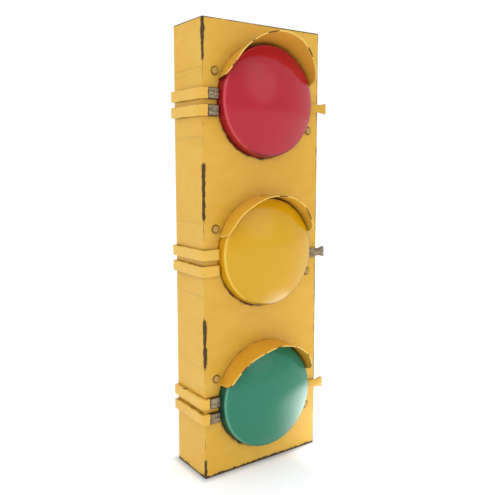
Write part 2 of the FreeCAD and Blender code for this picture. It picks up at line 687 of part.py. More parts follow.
def bulb(name):
    """Small round bulb whose cap sits in the holder."""
    height = centre_height(name)
    cap_end = HOLDER_MOUTH - BULB_CAP_LENGTH
    cap = rod((0, forward_to_y(cap_end), height), (0, -1, 0), BULB_CAP_LENGTH, BULB_CAP_RADIUS)
    middle = HOLDER_MOUTH + BULB_NECK
    neck_length = BULB_NECK - BULB_RADIUS / 2
    neck = Part.makeCone(BULB_CAP_RADIUS, BULB_RADIUS * math.cos(math.radians(30)), neck_length,
                         Vector(0, forward_to_y(HOLDER_MOUTH), height), Vector(0, -1, 0))
    glass = Part.makeSphere(BULB_RADIUS, Vector(0, forward_to_y(middle), height))
    return joined([cap, neck, glass])


# ---- wiring ----

def tube(points, bend):
    """Round lead along straight runs joined by tangent arcs."""
    path = rounded_wire(points, [bend] * len(points), closed=False)
    direction = points[1] - points[0]
    profile = Part.Wire(Part.makeCircle(LEAD_RADIUS, points[0], direction))
    return path.makePipeShell([profile], True, True)


def lamp_lead(name):
    """Lead from a lampholder's cap across to the side wall and down to the terminal block."""
    height = centre_height(name)
    lane = len(SECTIONS) - 1 - SECTIONS[name][0]
    lane_x = SIDE - SHEET - LEAD_WALL_GAP - LEAD_RADIUS - lane * LEAD_PITCH
    start = Vector(HOLDER_CAP_RADIUS, LEAD_Y, height)
    turn = Vector(lane_x, LEAD_Y, height)
    end = Vector(lane_x, LEAD_Y, SHEET + BLOCK_HEIGHT)
    return tube([start, turn, end], LEAD_BEND)


def lamp_leads():
    return Part.makeCompound([lamp_lead(name) for name in SECTIONS])


def service_leads():
    """Leads from the terminal block to the switch and to the flasher unit."""
    y = BLOCK_Y + BLOCK_DEPTH / 2
    start = Vector(BLOCK_X, y, SWITCH_LEAD_HEIGHT)
    turn = Vector(SERVICE_X, y, SWITCH_LEAD_HEIGHT)
    end = Vector(SERVICE_X, y, SERVICE_HEIGHT - SWITCH_HEIGHT / 2 + SWITCH_CLEARANCE)
    unit_side = UNIT_X + UNIT_LENGTH / 2
    straight = rod((unit_side, y, UNIT_LEAD_HEIGHT), (1, 0, 0), BLOCK_X - unit_side, LEAD_RADIUS)
    return Part.makeCompound([tube([start, turn, end], SWITCH_LEAD_BEND), straight])


def terminal_block():
    high = (BLOCK_X + BLOCK_WIDTH, BLOCK_Y + BLOCK_DEPTH, SHEET + BLOCK_HEIGHT)
    block = box((BLOCK_X, BLOCK_Y, SHEET), high)
    wells = []
    for index in range(BLOCK_SCREWS):
        x = BLOCK_X + BLOCK_WIDTH * (index + 0.5) / BLOCK_SCREWS
        wells.append(rod((x, BLOCK_Y, SHEET + BLOCK_HEIGHT / 2), (0, 1, 0), BLOCK_SCREW_DEPTH,
                         BLOCK_SCREW_RADIUS))
    return block.cut(wells)


def flasher_unit():
    low_x = UNIT_X - UNIT_LENGTH / 2
    back = REAR - SHEET - BLOCK_GAP
    unit = box((low_x, back - UNIT_DEPTH, SHEET), (low_x + UNIT_LENGTH, back, SHEET + UNIT_HEIGHT))
    upper = [edge for edge in unit.Edges if edge.BoundBox.ZMin > SHEET + UNIT_EDGE / 2]
    return unit.makeFillet(UNIT_EDGE, upper)


def cable_grommet():
    """Rubber grommet with a groove that the rear flange sits in."""
    axis_x = -SERVICE_X
    lips = rod((axis_x, REAR - SHEET - GROMMET_LIP, SERVICE_HEIGHT), (0, 1, 0), SHEET + 2 * GROMMET_LIP,
               GROMMET_RADIUS)
    groove = rod((axis_x, REAR - SHEET, SERVICE_HEIGHT), (0, 1, 0), SHEET,
                 GROMMET_RADIUS + CUT_MARGIN)
    groove = groove.cut(rod((axis_x, REAR - SHEET, SERVICE_HEIGHT), (0, 1, 0), SHEET, GROMMET_HOLE))
    bore = rod((axis_x, REAR - DEPTH / 4, SERVICE_HEIGHT), (0, 1, 0), DEPTH / 2, GROMMET_BORE)
    return lips.cut([groove, bore])


def switch_body():
    """Snap-in switch body with the well that the rocker turns in."""
    half_width = SWITCH_WIDTH / 2
    half_height = SWITCH_HEIGHT / 2
    gap = SWITCH_CLEARANCE
    body = box((SERVICE_X - half_width + gap, REAR - SWITCH_DEPTH, SERVICE_HEIGHT - half_height + gap),
               (SERVICE_X + half_width - gap, REAR, SERVICE_HEIGHT + half_height - gap))
    edge = SWITCH_BEZEL
    bezel_width = half_width + edge
    bezel_height = half_height + edge
    bezel = box((SERVICE_X - bezel_width, REAR, SERVICE_HEIGHT - bezel_height),
                (SERVICE_X + bezel_width, REAR + SWITCH_BEZEL_HEIGHT, SERVICE_HEIGHT + bezel_height))
    well_width = ROCKER_WIDTH / 2 + ROCKER_CLEARANCE
    well_height = ROCKER_RADIUS + ROCKER_CLEARANCE
    well = box((SERVICE_X - well_width, PIVOT_Y - well_height, SERVICE_HEIGHT - well_height),
               (SERVICE_X + well_width, REAR + 2 * SWITCH_BEZEL_HEIGHT, SERVICE_HEIGHT + well_height))
    pivot_half = ROCKER_WIDTH / 2 + PIVOT_LENGTH + PIVOT_CLEARANCE
    pivot = rod((SERVICE_X - pivot_half, PIVOT_Y, SERVICE_HEIGHT), (1, 0, 0), 2 * pivot_half,
                PIVOT_RADIUS + PIVOT_CLEARANCE)
    return joined([body, bezel]).cut([well, pivot])


def switch_rocker():
    """Rocker with a shallow V face and two pivots, lying in its off position."""
    half = ROCKER_WIDTH / 2
    drum = rod((SERVICE_X - half, PIVOT_Y, SERVICE_HEIGHT), (1, 0, 0), ROCKER_WIDTH, ROCKER_RADIUS)
    rise = math.tan(math.radians(ROCKER_SLOPE)) * 2 * ROCKER_RADIUS
    reach = 2 * ROCKER_RADIUS
    side_view = [(ROCKER_VALLEY, 0), (ROCKER_VALLEY + rise, reach), (2 * reach, reach), (2 * reach, -reach),
                 (ROCKER_VALLEY + rise, -reach)]
    points = [Vector(SERVICE_X - ROCKER_WIDTH, PIVOT_Y + y, SERVICE_HEIGHT + z) for y, z in side_view]
    above = Part.Face(rounded_wire(points, [0] * 5)).extrude(Vector(2 * ROCKER_WIDTH, 0, 0))
    pivot_half = half + PIVOT_LENGTH
    pivot = rod((SERVICE_X - pivot_half, PIVOT_Y, SERVICE_HEIGHT), (1, 0, 0), 2 * pivot_half, PIVOT_RADIUS)
    rocker = joined([drum.cut(above), pivot])
    rocker.rotate(Vector(SERVICE_X, PIVOT_Y, SERVICE_HEIGHT), Vector(1, 0, 0), -ROCKER_TILT)
    return rocker


# ---- wall mounting ----

def hanger_plate():
    """Doubler behind the top flange, with the two wall screw holes."""
    low = HEIGHT - END_FLANGE + HANGER_MARGIN
    plate = rounded_slab(HANGER_LENGTH / 2, low, HEIGHT - HANGER_MARGIN, HANGER_MARGIN / 2,
                         REAR - SHEET - HANGER_THICKNESS, REAR - SHEET)
    holes = []
    for x in (-HANGER_PITCH / 2, HANGER_PITCH / 2):
        holes.append(rod((x, REAR - DEPTH / 4, HANGER_Z), (0, 1, 0), DEPTH / 2, HANGER_HOLE_RADIUS))
    return plate.cut(holes)


def wall_bumpers():
    bumpers = []
    for x in (-BUMPER_X, BUMPER_X):
        for z in (BUMPER_END, HEIGHT - BUMPER_END):
            bumpers.append(Part.makeCone(BUMPER_RADIUS, BUMPER_TOP_RADIUS, BUMPER_HEIGHT,
                                         Vector(x, REAR, z), Vector(0, 1, 0)))
    return Part.makeCompound(bumpers)


# ---- rear door ----

def rear_door():
    """Shallow pan over the service window, with vents at both ends."""
    rim_front = REAR + DOOR_GAP
    pan = rounded_slab(DOOR_SIDE, DOOR_LOW, DOOR_HIGH, DOOR_CORNER, rim_front, DOOR_OUTER)
    inside = rounded_slab(DOOR_SIDE - SHEET, DOOR_LOW + SHEET, DOOR_HIGH - SHEET, DOOR_CORNER - SHEET,
                          REAR - DOOR_GAP, DOOR_INNER)
    cuts = [inside]
    for index in range(VENT_COUNT):
        rise = VENT_MARGIN + index * VENT_PITCH
        for z in (DOOR_LOW + rise, DOOR_HIGH - rise):
            for x in (-VENT_OFFSET, VENT_OFFSET):
                left, right = x - VENT_LENGTH / 2, x + VENT_LENGTH / 2
                low, high = z - VENT_WIDTH / 2, z + VENT_WIDTH / 2
                outline = [(left, low), (right, low), (right, high), (left, high)]
                corner = VENT_WIDTH / 3
                cuts.append(upright_plate(outline, [corner] * 4, DOOR_INNER - SHEET, DOOR_OUTER + SHEET))
    cuts.append(rod((LATCH_X, REAR, LATCH_Z), (0, 1, 0), 4 * SHEET, BARREL_RADIUS + BARREL_CLEARANCE))
    for middle in HINGE_HEIGHTS.values():
        for z in hinge_rivet_heights(middle):
            cuts.append(rod((DOOR_RIVET_X, REAR, z), (0, 1, 0), 4 * SHEET, RIVET_RADIUS))
    return pan.cut(cuts)


def door_gasket():
    """Frame of soft seal inside the door's rim."""
    inset = SHEET + DOOR_SEAL_INSET
    outer = rounded_slab(DOOR_SIDE - inset, DOOR_LOW + inset, DOOR_HIGH - inset, DOOR_CORNER - inset,
                         REAR, DOOR_INNER)
    inset += DOOR_SEAL_WIDTH
    inner = rounded_slab(DOOR_SIDE - inset, DOOR_LOW + inset, DOOR_HIGH - inset, DOOR_CORNER / 2,
                         REAR - CUT_MARGIN, DOOR_INNER + CUT_MARGIN)
    return outer.cut(inner)


def hinge_frame_leaf(middle):
    """Leaf on the housing side with the two end knuckles."""
    low = middle - HINGE_HEIGHT / 2
    plate = box((SIDE, HINGE_Y - HINGE_LEAF, low), (SIDE + HINGE_SHEET, REAR, low + HINGE_HEIGHT))
    pieces = [plate]
    for start in (low, low + HINGE_HEIGHT - HINGE_END_KNUCKLE):
        tongue_high = (SIDE + HINGE_SHEET, HINGE_Y, start + HINGE_END_KNUCKLE)
        pieces.append(box((SIDE, REAR - SHEET, start), tongue_high))
        pieces.append(rod((HINGE_X, HINGE_Y, start), (0, 0, 1), HINGE_END_KNUCKLE, HINGE_KNUCKLE_RADIUS))
    bore = rod((HINGE_X, HINGE_Y, low - CUT_MARGIN), (0, 0, 1), HINGE_HEIGHT + 2 * CUT_MARGIN,
               HINGE_PIN_RADIUS)
    holes = [bore]
    for z in hinge_rivet_heights(middle):
        holes.append(rod((SIDE - SHEET, HINGE_Y - RIVET_FROM_KNUCKLE, z), (1, 0, 0), 4 * SHEET, RIVET_RADIUS))
    return joined(pieces).cut(holes)


def hinge_door_leaf(middle):
    """Leaf on the outside of the door with the middle knuckle."""
    low = middle - HINGE_HEIGHT / 2
    knuckle_low = low + HINGE_END_KNUCKLE + HINGE_AXIAL_GAP
    knuckle_length = HINGE_HEIGHT - 2 * (HINGE_END_KNUCKLE + HINGE_AXIAL_GAP)
    clear_x = HINGE_X - HINGE_KNUCKLE_RADIUS - HINGE_AXIAL_GAP
    leaf_outer = DOOR_OUTER + HINGE_SHEET
    plate = box((DOOR_RIVET_X - RIVET_EDGE, DOOR_OUTER, low), (clear_x, leaf_outer, low + HINGE_HEIGHT))
    tongue = box((clear_x - SHEET, DOOR_OUTER, knuckle_low),
                 (HINGE_X, leaf_outer, knuckle_low + knuckle_length))
    knuckle = rod((HINGE_X, HINGE_Y, knuckle_low), (0, 0, 1), knuckle_length, HINGE_KNUCKLE_RADIUS)
    bore = rod((HINGE_X, HINGE_Y, low), (0, 0, 1), HINGE_HEIGHT, HINGE_PIN_RADIUS + HINGE_PIN_CLEARANCE)
    holes = [bore]
    for z in hinge_rivet_heights(middle):
        holes.append(rod((DOOR_RIVET_X, REAR, z), (0, 1, 0), 8 * SHEET, RIVET_RADIUS))
    return joined([plate, tongue, knuckle]).cut(holes)


def hinge_pins():
    pins = []
    for middle in HINGE_HEIGHTS.values():
        top = middle + HINGE_HEIGHT / 2
        shaft = rod((HINGE_X, HINGE_Y, top), (0, 0, -1), HINGE_HEIGHT, HINGE_PIN_RADIUS)
        head = rod((HINGE_X, HINGE_Y, top), (0, 0, 1), PIN_HEAD_HEIGHT, PIN_HEAD_RADIUS)
        pins.append(joined([shaft, head]))
    return Part.makeCompound(pins)


def rivet(face_point, outward, grip):
    """Domed rivet whose head sits on a surface and whose tail is formed behind the grip."""
    start = Vector(*face_point)
    direction = Vector(*outward)
    inward = direction * -1
    shank = Part.makeCylinder(RIVET_RADIUS, grip, start, inward)
    head = Part.makeCone(RIVET_HEAD_RADIUS, RIVET_RADIUS, RIVET_HEAD_HEIGHT, start, direction)
    tail = Part.makeCylinder(RIVET_TAIL_RADIUS, RIVET_TAIL, start + inward * grip, inward)
    return joined([shank, head, tail])


def hinge_rivets_frame():
    rivets = []
    for middle in HINGE_HEIGHTS.values():
        for z in hinge_rivet_heights(middle):
            place = (SIDE + HINGE_SHEET, HINGE_Y - RIVET_FROM_KNUCKLE, z)
            rivets.append(rivet(place, (1, 0, 0), HINGE_SHEET + SHEET))
    return Part.makeCompound(rivets)


def hinge_rivets_door():
    rivets = []
    for middle in HINGE_HEIGHTS.values():
        for z in hinge_rivet_heights(middle):
            place = (DOOR_RIVET_X, DOOR_OUTER + HINGE_SHEET, z)
            rivets.append(rivet(place, (0, 1, 0), HINGE_SHEET + SHEET))
    return Part.makeCompound(rivets)


# ---- latch on the door ----

def latch_barrel():
    barrel = rod((LATCH_X, BARREL_INNER, LATCH_Z), (0, 1, 0), DOOR_OUTER - BARREL_INNER, BARREL_RADIUS)
    flange = rod((LATCH_X, DOOR_OUTER, LATCH_Z), (0, 1, 0), BARREL_FLANGE_HEIGHT, BARREL_FLANGE_RADIUS)
    bore = rod((LATCH_X, REAR - DEPTH / 4, LATCH_Z), (0, 1, 0), DEPTH / 2, SPINDLE_RADIUS + SPINDLE_CLEARANCE)
    return joined([barrel, flange]).cut(bore)


def latch_nut():
    ring = rod((LATCH_X, DOOR_INNER, LATCH_Z), (0, -1, 0), LATCH_NUT_HEIGHT, LATCH_NUT_RADIUS)
    return ring.cut(rod((LATCH_X, DOOR_INNER, LATCH_Z), (0, -1, 0), LATCH_NUT_HEIGHT, BARREL_RADIUS))


def latch_knob():
    """Finger wing on a disc, with the spindle that runs through the barrel."""
    disc = rod((LATCH_X, KNOB_INNER, LATCH_Z), (0, 1, 0), KNOB_HEIGHT, KNOB_RADIUS)
    spindle = rod((LATCH_X, CAM_INNER, LATCH_Z), (0, 1, 0), KNOB_INNER - CAM_INNER, SPINDLE_RADIUS)
    wing_low = (LATCH_X - WING_WIDTH / 2, KNOB_INNER, LATCH_Z - WING_LENGTH / 2)
    wing_high = (LATCH_X + WING_WIDTH / 2, KNOB_INNER + WING_HEIGHT, LATCH_Z + WING_LENGTH / 2)
    wing = box(wing_low, wing_high)
    return joined([disc, spindle, wing])


def latch_cam():
    """Cam on the spindle; it hangs down when unlocked."""
    half = CAM_WIDTH / 2
    outline = [(LATCH_X - half, LATCH_Z - CAM_LENGTH), (LATCH_X + half, LATCH_Z - CAM_LENGTH),
               (LATCH_X + half, LATCH_Z + half), (LATCH_X - half, LATCH_Z + half)]
    plate = upright_plate(outline, [half / 2] * 4, CAM_INNER, CAM_OUTER)
    return plate.cut(rod((LATCH_X, CAM_INNER, LATCH_Z), (0, 1, 0), CAM_THICKNESS, SPINDLE_RADIUS))


def build_nodes():
    nodes = {"housing_shell": housing_shell()}
    for name in SECTIONS:
        nodes["strap_" + name + "_upper"] = strap(strap_middle(name, 1))
        nodes["strap_" + name + "_lower"] = strap(strap_middle(name, -1))
        nodes["latch_tab_" + name] = latch_tab(name)
        nodes["visor_" + name] = visor(name)
        nodes["lens_" + name] = lens(name)
        nodes["lens_gasket_" + name] = lens_gasket(name)
        nodes["lens_ring_" + name] = lens_ring(name)
        nodes["lamp_bracket_" + name] = lamp_bracket(name)
        nodes["lampholder_" + name] = lampholder(name)
        nodes["reflector_" + name] = reflector(name)
        nodes["bulb_" + name] = bulb(name)
    for place, middle in HINGE_HEIGHTS.items():
        nodes["hinge_frame_leaf_" + place] = hinge_frame_leaf(middle)
        nodes["hinge_door_leaf_" + place] = hinge_door_leaf(middle)
    single = (lens_screws, lens_nuts, shade_rings, lamp_leads, service_leads, terminal_block,
              flasher_unit, cable_grommet, switch_body, switch_rocker, hanger_plate, wall_bumpers,
              rear_door, door_gasket, hinge_pins, hinge_rivets_frame, hinge_rivets_door,
              latch_barrel, latch_nut, latch_knob, latch_cam)
    for make in single:
        nodes[make.__name__] = make()
    return nodes


os.makedirs("parts", exist_ok=True)
for node, shape in build_nodes().items():
    shape.exportStep("parts/" + node + ".step")
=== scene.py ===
import json
import math
import bmesh
import bpy
from mathutils import Matrix, Vector, noise


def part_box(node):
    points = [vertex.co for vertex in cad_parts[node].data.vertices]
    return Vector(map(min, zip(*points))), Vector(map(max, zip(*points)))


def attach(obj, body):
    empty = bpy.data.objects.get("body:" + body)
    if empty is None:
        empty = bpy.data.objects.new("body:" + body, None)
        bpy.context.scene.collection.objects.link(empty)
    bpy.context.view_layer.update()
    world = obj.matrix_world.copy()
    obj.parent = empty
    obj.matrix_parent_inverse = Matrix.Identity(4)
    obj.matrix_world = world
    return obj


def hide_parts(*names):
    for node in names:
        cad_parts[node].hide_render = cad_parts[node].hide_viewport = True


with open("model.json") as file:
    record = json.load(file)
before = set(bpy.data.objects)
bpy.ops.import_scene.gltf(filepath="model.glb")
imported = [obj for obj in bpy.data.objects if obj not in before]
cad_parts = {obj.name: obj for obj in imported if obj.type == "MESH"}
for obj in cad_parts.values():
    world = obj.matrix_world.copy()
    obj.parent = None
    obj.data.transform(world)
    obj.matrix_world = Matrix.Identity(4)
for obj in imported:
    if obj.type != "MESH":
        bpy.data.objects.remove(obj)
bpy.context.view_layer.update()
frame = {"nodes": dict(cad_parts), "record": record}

# Three-section signal head: a folded sheet-steel housing in distressed yellow paint, three domed
# plastic lenses under short visors, bent straps on the left, flared tabs on the right, and a
# service door behind. Metres, with the front towards -Y.

# ---- places taken from the frame ----
housing_low, housing_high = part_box("housing_shell")
LEFT, FRONT, BASE = housing_low
RIGHT, REAR, TOP = housing_high
HEIGHT = TOP - BASE
COLOURS = ("green", "amber", "red")
SECTION = HEIGHT / len(COLOURS)

# ---- sizes of the visible pieces ----
LENS_FLANGE = 0.0065         # inner flange past the lens wall
LENS_FLANGE_THICKNESS = 0.0025
LENS_TAPER = 0.0013
LENS_WALL = 0.0158
LENS_WALL_RING = 0.4         # middle ring of the wall, as a share of its height
LENS_RIM_RADIUS = 0.0042
LENS_THICKNESS = 0.0028
LENS_STEPS = 144             # round the lens
LENS_RIM_STEPS = 6
LENS_DOME_STEPS = 26
VISOR_GAP = 0.0024
VISOR_SHEET = 0.0012
VISOR_CORNER = 0.015
VISOR_COLUMNS = 96
VISOR_ROWS = 14
VISOR_RIPPLE = 0.0011        # unevenness of the front edge
RIPPLE_ROUND = 0.06          # waves per degree round the lens
RIPPLE_OUT = 1.2             # waves from the housing to the front edge
VISOR_WORN_EDGE = 0.003      # how far wear reaches in from the edge
VISOR_LIT_EDGE = 0.0012
REACH_HEIGHT = 0.0406        # height over the lens centre of the lower reach
SCREW_OFFSET = 0.0132
SCREW_ANGLES = (155.5, -24.5)
SCREW_HEAD_RADIUS = 0.0049
SCREW_HEAD_HEIGHT = 0.0028
SCREW_ROUNDING = 0.0016
SCREW_ROUNDING_END = 78      # degrees of the rounding that are kept
SCREW_ROUNDING_STEPS = 5
SCREW_FLAT_RADIUS = 0.0017   # flat middle of the head
SCREW_RADIUS = 0.0025
SCREW_STEPS = 40
STRAP_BEND = 0.008
STRAP_FRONT_STEPS = 5
STRAP_BEND_STEPS = 8
STRAP_SIDE_STEPS = 8
STRAP_EDGE = 0.0009          # rounding of the strap's long edges
STRAP_BARE_FROM = 0.006      # from the left side to the start of the bare metal
TAB_NECK = 0.0126
TAB_ROOT = 0.0165
TAB_ROOT_TAPER = 0.9
TAB_NECK_LENGTH = 0.003
TAB_REACH = 0.014
TAB_CORNER = 0.001
TAB_EDGE = 0.0008            # rounding of the tab's edges
SMOOTH_ANGLE = math.radians(38)   # edges sharper than this stay crisp
FOLD_ANGLE = math.radians(50)     # edges sharper than this are rounded off
WELD = 1e-6                  # points closer than this become one

# Visor of each section: tilt in degrees, reach at the lower ends and at the top.
VISORS = {
    "green": (0.5, 0.0320, 0.0490), "amber": (3.0, 0.0290, 0.0430), "red": (12.0, 0.0305, 0.0487),
}
VISOR_ENDS = (18.0, 161.0)   # degrees round the lens, from the right
# Weld spots of each visor, in the same degrees.
TACKS = {"green": (40.0, 92.0, 120.0, 152.0), "amber": (40.0, 92.0), "red": (40.0, 66.0)}
TACK_RADIUS = 0.0018
TACK_OFFSET = 0.0008
TACK_FLATNESS = 0.8


def lens_centre(colour):
    low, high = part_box("lens_" + colour)
    return (low + high) / 2


LENS_RADIUS = (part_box("lens_red")[1].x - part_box("lens_red")[0].x) / 2 - LENS_FLANGE


# ---- shader building ----

def add(tree, kind, inputs=None, **settings):
    """Adds a node, sets its properties and fills or links its inputs."""
    made = tree.nodes.new(kind)
    for name, value in settings.items():
        setattr(made, name, value)
    for name, value in (inputs or {}).items():
        socket = made.inputs[name]
        if isinstance(value, bpy.types.NodeSocket):
            tree.links.new(value, socket)
        else:
            socket.default_value = value
    return made


def calc(tree, operation, first, second=0.0, third=0.0):
    values = {0: first, 1: second}
    if operation in ("MULTIPLY_ADD", "WRAP"):
        values[2] = third
    return add(tree, "ShaderNodeMath", values, operation=operation).outputs[0]


def chain(operation):
    """Function that joins any number of values with one kind of sum."""
    def joined(tree, total, *others):
        for other in others:
            total = calc(tree, operation, total, other)
        return total
    return joined


def scaled(tree, value, scale, base):
    return calc(tree, "MULTIPLY_ADD", value, scale, base)


times = chain("MULTIPLY")
plus = chain("ADD")
minus = chain("SUBTRACT")
highest = chain("MAXIMUM")
lowest = chain("MINIMUM")


def length_of(tree, first, second):
    """Length of a step with these two parts."""
    return calc(tree, "SQRT", scaled(tree, first, first, times(tree, second, second)))


def split(tree, place):
    return add(tree, "ShaderNodeSeparateXYZ", {0: place}).outputs


def vector_math(tree, operation, first, second):
    return add(tree, "ShaderNodeVectorMath", {0: first, 1: second}, operation=operation).outputs


def opaque(colour):
    return tuple(colour) + (1,)


def soft_step(tree, value, low, high):
    """0 below low, 1 above high, smooth between; low may be the larger."""
    inputs = {"Value": value, "From Min": low, "From Max": high}
    return add(tree, "ShaderNodeMapRange", inputs, interpolation_type="SMOOTHSTEP").outputs[0]


def tint(tree, factor, under, over):
    inputs = {0: factor, 6: under, 7: over}
    return add(tree, "ShaderNodeMix", inputs, data_type="RGBA").outputs[2]


def speckle(tree, place, scale, detail=3.0, stretch=None):
    """Noise of 0 to 1; stretch scales the pattern along each axis."""
    if stretch:
        place = add(tree, "ShaderNodeMapping", {"Vector": place, "Scale": stretch}).outputs[0]
    inputs = {"Vector": place, "Scale": scale, "Detail": detail}
    return add(tree, "ShaderNodeTexNoise", inputs).outputs["Fac"]


def new_group(name, inputs, outputs):
    """Empty shader group with its sockets, and its input and output nodes."""
    group = bpy.data.node_groups.new(name, "ShaderNodeTree")
    kinds = {"number": "NodeSocketFloat", "colour": "NodeSocketColor", "vector": "NodeSocketVector"}
    for label, kind in inputs.items():
        group.interface.new_socket(label, in_out="INPUT", socket_type=kinds[kind])
    for label, kind in outputs.items():
        group.interface.new_socket(label, in_out="OUTPUT", socket_type=kinds[kind])
    return group, group.nodes.new("NodeGroupInput"), group.nodes.new("NodeGroupOutput")


def new_material(name):
    """Material with its tree, its shader and the object coordinates."""
    material = bpy.data.materials.new(name)
    material.use_nodes = True
    tree = material.node_tree
    place = add(tree, "ShaderNodeTexCoord").outputs["Object"]
    return material, tree, tree.nodes["Principled BSDF"], place


# ---- camera and light ----

CAMERA_PLACE = Vector((-0.5796, -0.8196, 0.4909))
CAMERA_AZIMUTH = 35.22       # turned from +Y towards +X
CAMERA_DIP = 6.54            # below the horizontal
CAMERA_LENS = 44.58
CAMERA_SENSOR = 36
CAMERA_SHIFT = -0.03


def make_camera():
    camera = bpy.data.objects.new("camera", bpy.data.cameras.new("camera"))
    bpy.context.scene.collection.objects.link(camera)
    turn = Matrix.Rotation(math.radians(-CAMERA_AZIMUTH), 4, "Z")
    tip = Matrix.Rotation(math.radians(90 - CAMERA_DIP), 4, "X")
    camera.matrix_world = Matrix.Translation(CAMERA_PLACE) @ turn @ tip
    camera.data.lens = CAMERA_LENS
    camera.data.sensor_width = CAMERA_SENSOR
    camera.data.shift_y = CAMERA_SHIFT
    bpy.context.scene.camera = camera


# Brightness of the surroundings, and where they are brighter: direction, the angles in degrees
# where the extra brightness is full and where it ends, and its amount.
AMBIENT = 0.82
SOFT_PARTS = (
    ((0.57, 0.81, -0.11), 40, 70, 0.20),
    ((-1.0, -0.15, 0.1), 20, 75, 0.35),
    ((0.0, 0.0, 1.0), 20, 65, 0.35),
    ((0.34, -0.89, 0.36), 8, 22, 0.75),
)
# Painted pool of light: this part of the floor glows, though it is no lamp.
POOL_MIDDLE = (0.27, -0.08, 0)   # brighter part of the floor, right of the housing
POOL_RADIUS = 0.24
POOL_CORE = 0.04             # radius that is fully bright
POOL_BRIGHTNESS = 3.5
FLOOR_RADIUS = 12
FLOOR_SEGMENTS = 96
FLOOR_GLOW = 0.14
CONTACT_REACH = 0.016        # soft shade round the foot of the housing
CONTACT_CORE = -0.004        # never reached, so that the shade stays soft at the foot
CONTACT_SHADE = 0.6
PAPER = (0.94, 0.96, 1.0, 1)
SHADED_PAPER = (0.30, 0.30, 0.34, 1)


def make_studio():
    """White surroundings with soft brighter parts; the floor has a painted light pool and contact
    shadow.
    """
    scene = bpy.context.scene
    scene.view_settings.view_transform = "Standard"
    scene.view_settings.look = "None"
    world = bpy.data.worlds.new("studio")
    world.use_nodes = True
    tree = world.node_tree
    towards = add(tree, "ShaderNodeTexCoord").outputs["Generated"]
    strength = AMBIENT
    for direction, inner, outer, amount in SOFT_PARTS:
        aim = Vector(direction).normalized()
        nearness = vector_math(tree, "DOT_PRODUCT", towards, aim)["Value"]
        end, full = math.cos(math.radians(outer)), math.cos(math.radians(inner))
        part = soft_step(tree, nearness, end, full)
        strength = scaled(tree, part, amount, strength)
    tree.nodes["Background"].inputs["Color"].default_value = (1, 1, 1, 1)
    tree.links.new(strength, tree.nodes["Background"].inputs["Strength"])
    scene.world = world
    bm = bmesh.new()
    bmesh.ops.create_circle(bm, cap_ends=True, segments=FLOOR_SEGMENTS, radius=FLOOR_RADIUS)
    mesh = bpy.data.meshes.new("floor")
    bm.to_mesh(mesh)
    bm.free()
    floor = bpy.data.objects.new("floor", mesh)
    scene.collection.objects.link(floor)
    paper, tree, shader, place = new_material("pale_paper")
    gap = vector_math(tree, "DISTANCE", place, POOL_MIDDLE)["Value"]
    light_pool = soft_step(tree, gap, POOL_RADIUS, POOL_CORE)
    parts = split(tree, place)
    sides = []
    for axis in (0, 1):
        before = minus(tree, housing_low[axis], parts[axis])
        past = minus(tree, parts[axis], housing_high[axis])
        sides.append(highest(tree, before, past, 0.0))
    # Painted contact shadow: the floor darkens close round the foot of the housing.
    contact_shadow = soft_step(tree, length_of(tree, *sides), CONTACT_REACH, CONTACT_CORE)
    contact_shadow = times(tree, contact_shadow, CONTACT_SHADE)
    glow = scaled(tree, light_pool, POOL_BRIGHTNESS, FLOOR_GLOW)
    tree.links.new(times(tree, glow, minus(tree, 1.0, contact_shadow)), shader.inputs["Emission Strength"])
    tree.links.new(tint(tree, contact_shadow, PAPER, SHADED_PAPER), shader.inputs["Base Color"])
    shader.inputs["Roughness"].default_value = 0.9
    shader.inputs["Specular IOR Level"].default_value = 0.1
    shader.inputs["Emission Color"].default_value = (1, 1, 1, 1)
    mesh.materials.append(paper)


make_camera()
make_studio()


PAINT_BROWN_SPECK = (0.36, 0.20, 0.04, 1)
GRIME_AND_SHADE_TONE = (0.10, 0.055, 0.012, 1)
SCUFF_TONE = (0.28, 0.15, 0.03, 1)
PRIMER_TONES = (0.030, 0.014, 0.002, 1), (0.098, 0.048, 0.010, 1)
STEEL_TONES = (0.15, 0.115, 0.070, 1), (0.44, 0.36, 0.23, 1)
WEAVE = 950.0                # scratches per metre in bare metal


